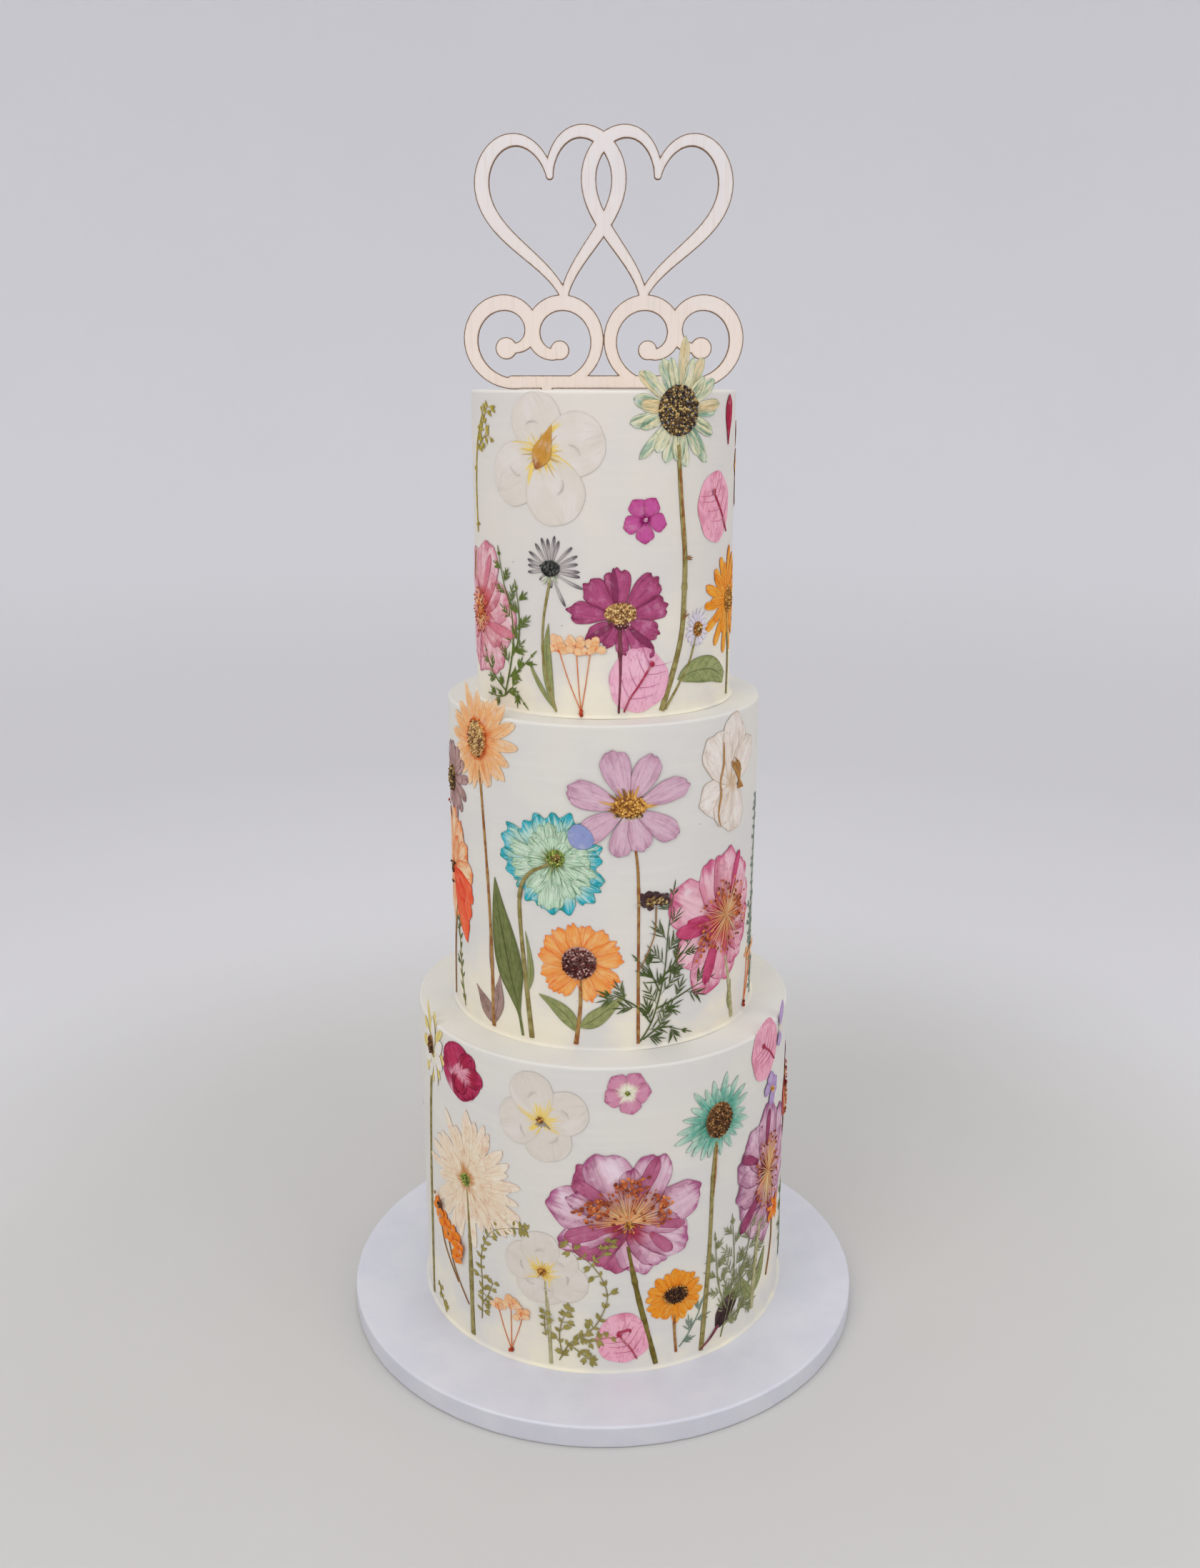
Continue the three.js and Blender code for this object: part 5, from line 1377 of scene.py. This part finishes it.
press("leaf_green", {"node": "middle_leaf_green", "slot": "leaf_green", "parts": [
    (leaf, [(-30.2, 201), (-32, 216), (-36, 240), (-40, 268), (-42, 288)], 17.5, "leafDark",
        (.09, .10, .12, .45, .9, 1, .85, .55, .25, .03), {"cells": (13, 40)})]})

press("fern_dark", {"node": "middle_fern_dark", "slot": "fern_green", "heart": (18.5, 281), "parts": [
    (fern, [(13, 202), (17, 212), (20, 226), (22, 242), (23, 262), (25, 284)], 32, "fernDark", 12,
        {"level": .2, "lobe": (.75, 7.4)}),
    (fern, [(17, 212), (12, 222), (6, 228), (2.5, 230)], 22, "fernDark", 12,
        {"level": .3, "lobe": (.75, 6.6)}),
    (fern, [(19, 220), (26, 224), (33, 228), (39, 230)], 24, "fernDark", 12,
        {"level": .25, "lobe": (.75, 6.6)}),
    (fern, [(14, 203), (21, 209), (29, 205)], 20, "fernDark", 12, {"level": .3, "lobe": (.75, 6)}),
    (fern, [(20, 230), (17, 240), (12.5, 248)], 18, "fernDark", 11, {"level": .3}),
    (fern, [(21.5, 238), (28, 248), (33, 257)], 19, "fernDark", 11, {"level": .3}),
    (stem, [(13, 244), (18, 262), (18.5, 278)], (.6, .7, .9), "stemBrown", .3, .35, False),
    (flower, ring(6, 5, 4, 0, .2), "budDark", "silk", {"off": (-4, 0)}),
    (flower, ring(6, 4.5, 4, 0, .2), "budDark", "silk", {"off": (3, 1)}),
    (beads, 30, (3.4, 1.3), (1.0, 1.1), "eyeDark", 1.1, {"rise": .2})]})

press("sprig_blue", {"node": "middle_sprig_blue", "slot": "petal_turquoise", "parts": [
    (thyme, [(75.5, 203), (74, 240), (74.5, 280), (77, 322)], "fernBlue", (1.3, 4.2), 5,
        {"width": .8, "stemLook": "fernBlue"}),
    (thyme, [(76, 214), (72, 235), (72, 256)], "fernBlue", (1.4, 4.4), 5,
        {"level": .2, "stemLook": "fernBlue"}),
    (umbel, (66, 201.5), [(69, 231), (72.5, 229), (75, 232)], 4.5, 7)]})
print("middle tier's flowers made")


# The bottom tier.
press("petal_magenta_side", {
    "node": "bottom_petal_magenta", "slot": "petal_magenta", "heart": (-45.4, 177.5), "parts": [
    (flower, [(-24, 31, 31, {"foot": (4, -14)}), (-30, 23, 24, {"foot": (1, -3)}),
        (140, 21, 27, {"foot": (-5, 5)}), (24, 17, 13, {"foot": (0, -1)}), (-158, 14, 14, {"foot": (0, 2)}),
        (96, 16, 12, {"foot": (0, 2)})], "petalMagenta", "round", {"cells": (15, 15)})]})

press("pansy_white_bottom", {
    "node": "bottom_pansy_white", "slot": "petal_white", "heart": (-18, 165.8), "parts": [
    (pansy, [(163, 25, 27), (-104, 25, 27), (70, 27, 26), (-20, 28, 25)])]})

press("phlox_pink", {"node": "bottom_phlox_pink", "slot": "petal_pink", "heart": (6.6, 183.5), "parts": [
    (flower, [(a, 12.8, 11.8) for a in (-42, 32, 96, 168, -112)], "phloxPink", "lobe"),
    (disc, 1.3, "eyeGreen", 9, .6, .4)]})

press("daisy_teal", {"node": "bottom_daisy_teal", "slot": "petal_turquoise", "heart": (35, 157.8), "parts": [
    (stem, [(34.5, 145), (33.6, 120), (33.0, 80), (30.6, 16)], (1.9, 2.2, 2.8, 3.2), "stemOlive"),
    (stem, [(34.6, 143), (34.2, 128), (33.8, 112)], (.9, 1.0, .3), "stemRusty", {"level": .5}),
    (flower, [(a, length, 4.5) for a, length in ((12, 27.5), (-9, 24), (-25, 22), (-40, 25.5), (-58, 21),
        (-76, 23), (-92, 26), (-106, 28.5), (-122, 25), (-136, 24), (-150, 24), (-168, 22), (174, 22),
        (154, 22), (134, 20), (118, 22), (104, 24.5), (86, 21), (70, 24), (52, 25), (34, 26), (22, 20),
        (0, 18), (-114, 19))], "daisyTealPetal"),
    (disc, 8.6, "eyeBrown", 190, 1.6, .62, {"squash": (1, 1.2), "off": (.5, 0)})]})

press("bract_pink_low", {"node": "bottom_bract_pink", "slot": "petal_pink", "heart": (56.5, 185), "parts": [
    (bract, 16.5, "bractPink", [(10, -9), (5, -3), (0, 1), (-4, 4)], {"squash": (.9, 1.08)}),
    (flower, [(a, length, 8) for a, length in ((-12, 11), (170, 11), (60, 9), (115, 9), (-75, 9))],
        "violetPetal", "lobe", {"at": (61, 158)}),
    (disc, 1.5, "eyeGold", 10, .7, .45, {"at": (61, 158)}),
    (flower, [(10, 17, 8), (185, 10, 7)], "violetPetal", "lobe", {"at": (66.5, 190)})]})

press("peony_purple", {"node": "bottom_peony_purple", "slot": "petal_purple", "heart": (60, 106), "parts": [
    (stem, [(56, 78), (54.5, 58), (52.5, 24)], (3.0, 3.8, 4.4), "stemPale"),
    (stem, [(64, 96), (65.5, 60), (62, 36)], (1.2, 1.2, 1.4), "stemBrown"),
    (leaf, [(54, 34), (57, 46), (60, 58)], 8),
    (leaf, [(53.4, 30), (49, 40), (46.5, 50)], 8),
    (flower, [(178, 42, 24), (146, 35, 24), (-154, 38, 24), (-122, 34, 24), (-92, 32, 24), (108, 33, 24),
        (70, 34, 24), (34, 39, 24), (-58, 35, 24), (-28, 38, 24), (2, 43, 26), (-140, 22, 13)], "peonyPurple",
        "silk", {"cells": (19, 19)}),
    (flower, [(-130, 24, 8, {"foot": (-10, -10)}), (-60, 18, 6, {"foot": (-12, 12)}),
        (4, 22, 5, {"foot": (-2, 18)}), (170, 20, 5, {"foot": (2, -16)})], "peonyPurpleFold", "tongue",
        {"cells": (9, 13)}),
    (stamens, 60, 22, {"off": (-1, 2), "bead": .8, "squash": (.7, 1.15)}),
    (flower, ring(9, 9, 4, 0, .2), "orangeFloret", "silk", {"at": (66, 78)})]})

press("peony_rose", {"node": "bottom_peony_pink", "slot": "petal_magenta", "heart": (7.2, 107), "parts": [
    (stem, [(7.0, 92), (9.3, 68), (12.4, 42), (15.6, 15.8)], (2.6, 2.8, 3.0, 2.8), "stemDeep"),
    (flower, [(-161, 31, 26, {"look": "peonyFold"}), (166, 33, 24), (143, 33, 21),
        (-127, 34, 22, {"look": "peonyFold"}), (117, 38, 24), (-106, 40, 18), (-79, 45, 26), (76, 43.5, 23),
        (-44, 42, 19, {"look": "peonyFold"}), (24, 42.5, 23), (-19, 45, 26), (-62, 36, 13), (98, 30, 13),
        (4, 32, 13)], "peonyRose", "silk", {"cells": (23, 23)}),
    (flower, [(24, 30, 8, {"foot": (4, 10)}), (-106, 26, 10, {"foot": (-10, -3)}),
        (-52, 24, 8, {"foot": (-10, 10)}), (136, 18, 7, {"foot": (12, -8)}),
        (-146, 20, 8, {"foot": (-6, -10)}), (98, 20, 6, {"foot": (12, -2)})], "peonyFold", "tongue",
        {"cells": (9, 13)}),
    (stamens, 80, 23, {"off": (0, 1), "spread": (-104, 106), "bead": .8}),
    (stamens, 20, 9, {"near": .3})] + [
    (beads, count, spread, (1.0, 1.5), {"off": off, "rise": .5}) for count, spread, off in (
        (34, (4.2, 3.2), (-19, 8)), (30, (5.5, 2.4), (2, 22)), (20, (2.4, 3.6), (20, 8)))] + [
    (disc, 2.4, "eyeGold", 20, 1.0, .6, {"off": (0, -1)})]})

press("dahlia_cream", {
    "node": "bottom_dahlia_cream", "slot": "petal_cream", "heart": (-44.8, 114.8), "parts": [
    (stem, [(-44.5, 112), (-44.2, 92), (-44, 60), (-43.6, 15.8)], (1.4, 2.0, 3.4, 3.6), "stemOlive"),
    (flower, [(96, 38, 5.8), (106, 41, 5.8), (114, 43, 5.8), (122, 42, 5.8), (130, 39, 5.8), (24, 39, 5.8),
        (32, 38, 5.8)] + ring(23, 36, 6.4, 0, .14, 3) + ring(19, 31, 5.8, 9, .16, 3)
        + ring(14, 22, 5.0, 4, .16, 2), "dahliaCream", "tongue", {"squash": (.96, 1.06), "cells": (9, 13)}),
    (disc, 3.6, "eyeGreen", 36, 1.2, .6),
    (stem, [(-45, 34), (-52, 52), (-56, 72)], (.8, .8, .7), "stemBrown", .4, .2, False),
    (stem, [(-50, 44), (-57, 60), (-60, 74)], (.8, .8, .7), "stemBrown", .4, .2, False)] + [
    (flower, ring(6, size, size * .7, 0, .2), "orangeFloret", "silk", {"at": (azimuth, z)})
    for azimuth, z, size in ((-57, 76, 7.5), (-52, 71, 7), (-61, 84, 6), (-49.5, 62, 5), (-48.5, 68, 5))] + [
    (beads, 8, (4, 3), (1.1, 1.3), "eyeBrown", 1.2, {"at": (-58, 87)})]})

press("sprig_tall", {"node": "bottom_sprig_olive", "slot": "sprig_olive", "heart": (-62.5, 184), "parts": [
    (stem, [(-63, 178), (-66, 140), (-68, 90), (-69.5, 16)], (2.2, 3.0, 3.4, 3.4), "stemOlive"),
    (thyme, [(-64, 30), (-61, 22), (-58, 18)], "sprigOlive", (1.2, 3.4), 3),
    (flower, ring(9, 23, 7, 20, .1, 2), "yellowPetal", {"squash": (.6, 1)}),
    (flower, ring(7, 19, 8, 5, .1, 2), "whitePetal", {"squash": (.6, 1), "off": (2, -5)}),
    (disc, 4, "eyeBrown", 40, 1.2, .6, {"squash": (.6, 1.4)})]})

press("thyme_curved", {"node": "bottom_thyme_curved", "slot": "sprig_olive", "parts": [
    (thyme, [(-39.5, 30), (-39, 52), (-39, 72), (-35.5, 88), (-29, 95), (-23, 97)], "thymeGreen",
        {"spacing": 5.4}),
    (thyme, [(-39.2, 40), (-36.5, 48), (-35, 56)], "thymeGreen", (2.0, 4.0), 5, {"level": .2})]})

press("pansy_small", {"node": "bottom_pansy_small", "slot": "petal_white", "heart": (-18, 74), "parts": [
    (stem, [(-17.2, 68), (-16.4, 45), (-15.6, 15.8)], (1.5, 2.0, 2.2), "stemPale"),
    (pansy, [(164, 21, 21), (112, 27, 24), (-156, 21, 22), (-72, 23, 24), (60, 22, 19), (-6, 24, 23)],
        {"claw": False}),
    (fan, 15, 5.5, "pansyRay", (0, 345), .8, .3),
    (disc, 2.6, "eyeGold", 30, 1.0, .5)]})

press("thyme_low", {"node": "bottom_thyme_low", "slot": "leaf_green", "parts": [
    (thyme, [(-13, 19), (-10, 30), (-6, 36), (-2, 44), (1, 60), (-1, 74), (-6, 86), (-11, 94)], "thymeGreen",
        {"level": .2})] + [
    (thyme, path, "thymeGreen", size, spacing, {"level": level}) for path, size, spacing, level in (
        ([(-12, 22), (-13, 34), (-12, 45), (-10, 52)], (2.1, 4.2), 5.5, .3),
        ([(-10, 30), (-6, 24), (-4, 21)], (2.1, 4.4), 5, .3),
        ([(-7, 35), (-3, 33), (1, 36)], (2.1, 4.4), 5, .3), ([(-3, 84), (1, 90), (2, 96)], (2.0, 4.0), 5, .9),
        ([(-17, 34), (-17.5, 42), (-17.2, 48)], (1.7, 3.4), 4, .9))]})

press("umbel_orange_low", {"node": "bottom_umbel_orange", "slot": "petal_orange", "parts": [
    (umbel, (-28.5, 18.5), [(-33, 43), (-28.5, 46), (-24.5, 42)])]})

press("bract_round_low", {"node": "bottom_bract_round", "slot": "petal_pink", "heart": (5.8, 34), "parts": [
    (bract, 15.2, "bractPink", [(7.5, -13), (4, -6), (0, -1), (-2.5, 3.5)], {"turn": 5,
        "hook": [(-3, 4.5), (0, 5.2), (3.5, 6), (3.6, 4.4)]})]})

press("calendula_low", {
    "node": "bottom_calendula_orange", "slot": "petal_orange", "heart": (21.3, 57), "parts": [
    (stem, [(21.3, 45), (21.4, 34), (22, 20.5)], (1.3, 1.6, 1.8), "stemRusty"),
    (fern, [(23, 23), (26, 30), (29, 40), (30.5, 47)], 16, "fernBlue"),
    (flower, ring(16, 16.8, 5.2, 0, .07, 3) + ring(13, 15, 4.8, 10, .09, 3), "calendula", "strap"),
    (disc, 6.4, "eyeBlack", 110, 1.0, .5, {"squash": (1.15, .8), "off": (.6, .6)}),
    (disc, 7.0, "eyeGold", 40, 1.0, .6, {"squash": (1.05, .8), "off": (0, 1), "hollow": .85})]})

press("fern_tall", {"node": "bottom_fern_tall", "slot": "fern_green", "heart": (38.5, 35), "parts": [
    (fern, path, width, "fernGrey", 12, {"level": level, "lobe": (.7, 6)}) for path, width, level in (
        ([(38, 19), (41, 40), (43, 62), (42, 89)], 30, .15),
        ([(44, 24), (50, 42), (55, 66), (57, 76)], 26, .2),
        ([(41, 30), (46, 52), (50, 72), (50, 88)], 24, .25))] + [
    (fern, [(40, 36), (37, 52), (35.8, 66), (35, 84)], 18, "fernGrey", 12, {"level": .25}),
    (fern, [(41, 44), (47, 50), (52, 52)], 18, "fernGrey", {"level": .25}),
    (fern, [(39, 26), (46, 30), (52, 30)], 16, "fernGrey", {"level": .25}),
    (flower, [(36, 24, 11), (50, 20, 8), (20, 18, 8), (40, 16, 7)], "budDark", "pointed", {"at": (36.6, 27)}),
    (stem, [(30, 17), (33.2, 21), (36.8, 28)], (1.0, 1.3, 2.2), "stemPurple", .6, .4, False)]})
print("bottom tier's flowers made")


def backPiece(s):
    # One more bunch like those in front, from the same parts: a head of its kind, a stem and greenery.
    r, look, eye = s["reach"], s["look"], s.get("eye")
    parts = [(stem, s["stem"], (1.8, 2.2, 3.0), s["stemLook"])]
    parts += [(fern, path, width, "fernGreen", {"level": .2}) for path, width in s.get("ferns", ())]
    parts += [(leaf, path, width, {"level": .2}) for path, width in s.get("leaves", ())]
    if s["kind"] == "cosmos":
        parts += [(flower, ring(8, r, r * .52, 8, .05), look, "cosmos", {"cells": (19, 17)}),
                  (disc, r * .26, eye, 120, 1.4, .7)]
    elif s["kind"] == "daisy":
        parts += [(flower, ring(15, r, r * .25, 4, .08, 3) + ring(14, r * .93, r * .24, 16, .1, 3), look),
                  (disc, r * .30, eye, 180, 1.6, .66)]
    elif s["kind"] == "peony":
        parts += [(flower, ring(8, r, r * .66, 10, .1) + ring(5, r * .66, r * .5, 30, .1), look, "silk",
                   {"cells": (19, 19), "squash": s.get("squash", (1, 1))}),
                  (flower, ring(5, r * .62, r * .18, 20, .3, r * .25), s["fold"], "tongue",
                   {"squash": s.get("squash", (1, 1))}),
                  (stamens, 60, r * .5), (beads, 40, r * .22, (1.0, 1.4), {"rise": .5})]
    elif s["kind"] == "carnation":
        parts += [(flower, ring(9, r, r * .68, 8, .08, 2) + ring(9, r * .74, r * .5, 20, .1, 2)
                   + ring(7, r * .48, r * .34, 0, .1, 1), look, "frill", {"cells": (23, 13)}),
                  (disc, r * .15, eye, 50, 1.2, .6)]
    elif s["kind"] == "pansy":
        parts += [(pansy, [(165, r * .95, r), (-112, r, r), (112, r, r), (38, r, r * .9), (-38, r, r * .9)],
                   {"look": look})]
    if "small" in s:
        place, size, count, form, own, ownEye = s["small"]
        parts += [(flower, ring(count, size, size * (.85 if count < 8 else .32), 0, .06), own, form,
                   {"at": place}),
                  (disc, size * .2, ownEye, 20, .8, .5, {"at": place})]
    return dict(s, parts=parts)


farParts = ("node", "slot", "kind", "heart", "reach", "look", "stem", "stemLook")
farSide = {
    "back_poppy": ("top_back_poppy", "petal_orange", "cosmos", (104, 498), 29, "calendula",
        [(103, 480), (100, 430), (103, 379)], "stemOlive",
        {"eye": "eyeMaroon", "ferns": [([(103.5, 380), (108, 405), (111, 430)], 18)]}),
    "back_pansy_top": ("top_back_pansy", "petal_purple", "pansy", (148, 440), 27, "purplePansy",
        [(148, 424), (146, 402), (143, 379)], "stemPale",
        {"small": ((145, 467), 12.5, 5, "lobe", "phloxPink", "eyeGreen")}),
    "back_daisy_top": ("top_back_daisy", "petal_white", "daisy", (188, 500), 27, "whitePetal",
        [(188, 482), (190, 430), (186, 379)], "stemOlive",
        {"eye": "eyeGold", "leaves": [([(187, 386), (183, 402), (177, 425)], 10)]}),
    "back_peony_top": ("top_back_peony", "petal_pink", "peony", (238, 462), 31, "roseSilk",
        [(238, 440), (240, 410), (242, 379)], "stemPale",
        {"fold": "roseFold", "ferns": [([(242.5, 380), (252, 402), (257, 424)], 19)]}),
    "back_carnation": ("middle_back_carnation", "petal_red", "carnation", (112, 318), 29, "poppyRed",
        [(111, 298), (108, 245), (111, 201)], "stemOlive",
        {"eye": "eyeGreen", "ferns": [([(110.5, 202), (101, 232), (98, 258)], 21)]}),
    "back_rudbeckia": ("middle_back_rudbeckia", "petal_yellow", "daisy", (140, 250), 27, "yellowPetal",
        [(140, 232), (142, 216), (143, 201)], "stemRusty",
        {"eye": "eyeMaroon", "small": ((150, 276), 13.5, 5, "lobe", "phloxMagenta", "eyeGold")}),
    "back_cosmos_middle": ("middle_back_cosmos", "petal_pale_pink", "cosmos", (180, 330), 31, "cosmosPale",
        [(180, 310), (183, 250), (180, 201)], "stemRusty",
        {"eye": "eyeGold", "leaves": [([(181, 212), (186, 230), (192, 254)], 12)]}),
    "back_pansy_middle": ("middle_back_pansy", "petal_purple", "pansy", (214, 262), 27, "purplePansy",
        [(214, 246), (212, 220), (210, 201)], "stemPale",
        {"small": ((214, 293), 9.5, 18, "ray", "daisySmallPetal", "eyeGold")}),
    "back_peony_middle": ("middle_back_peony", "petal_pink", "peony", (254, 306), 34, "peonyMagenta",
        [(254, 282), (250, 240), (252, 201)], "stemPale",
        {"fold": "peonyMagentaFold", "leaves": [([(251.5, 210), (247, 228), (241, 246)], 11)]}),
    "back_rose": ("bottom_back_rose", "petal_red", "peony", (92, 132), 37, "poppyRed",
        [(92, 106), (90, 60), (88, 16)], "stemOlive",
        {"fold": "petalCrimson", "squash": (.74, 1), "ferns": [([(88, 17), (80, 48), (78, 80)], 22)]}),
    "back_daisy_bottom": ("bottom_back_daisy", "petal_white", "daisy", (122, 156), 26, "whitePetal",
        [(122, 138), (125, 80), (121, 16)], "stemOlive",
        {"eye": "eyeGold", "small": ((116.5, 56), 17, 18, "strap", "calendula", "eyeMaroon")}),
    "back_pansy_bottom": ("bottom_back_pansy", "petal_purple", "pansy", (152, 92), 32, "purplePansy",
        [(152, 72), (150, 44), (149, 16)], "stemPale",
        {"small": ((156, 128), 14.5, 5, "lobe", "phloxPink", "eyeGreen")}),
    "back_cosmos_bottom": ("bottom_back_cosmos", "petal_pale_pink", "cosmos", (186, 140), 36, "cosmosPale",
        [(186, 116), (189, 60), (184, 16)], "stemRusty",
        {"eye": "eyeGold", "leaves": [([(186, 30), (180, 48), (172, 68)], 15)]}),
    "back_helenium": ("bottom_back_helenium", "petal_orange", "daisy", (218, 96), 27, "heleniumPetal",
        [(218, 76), (216, 46), (214, 16)], "stemRusty",
        {"eye": "eyeMaroon", "ferns": [([(214, 17), (205, 38), (201, 64)], 21)]}),
    "back_peony_bottom": ("bottom_back_peony", "petal_pink", "peony", (252, 128), 38, "peonyRose",
        [(252, 98), (255, 55), (250, 16)], "stemPale",
        {"fold": "peonyFold", "leaves": [([(251.5, 28), (257, 42), (264, 60)], 13)]})}
for name, (*row, more) in farSide.items():
    press(name, backPiece(dict(zip(farParts, row)) | more))
print("far side made")

print("pieces made")
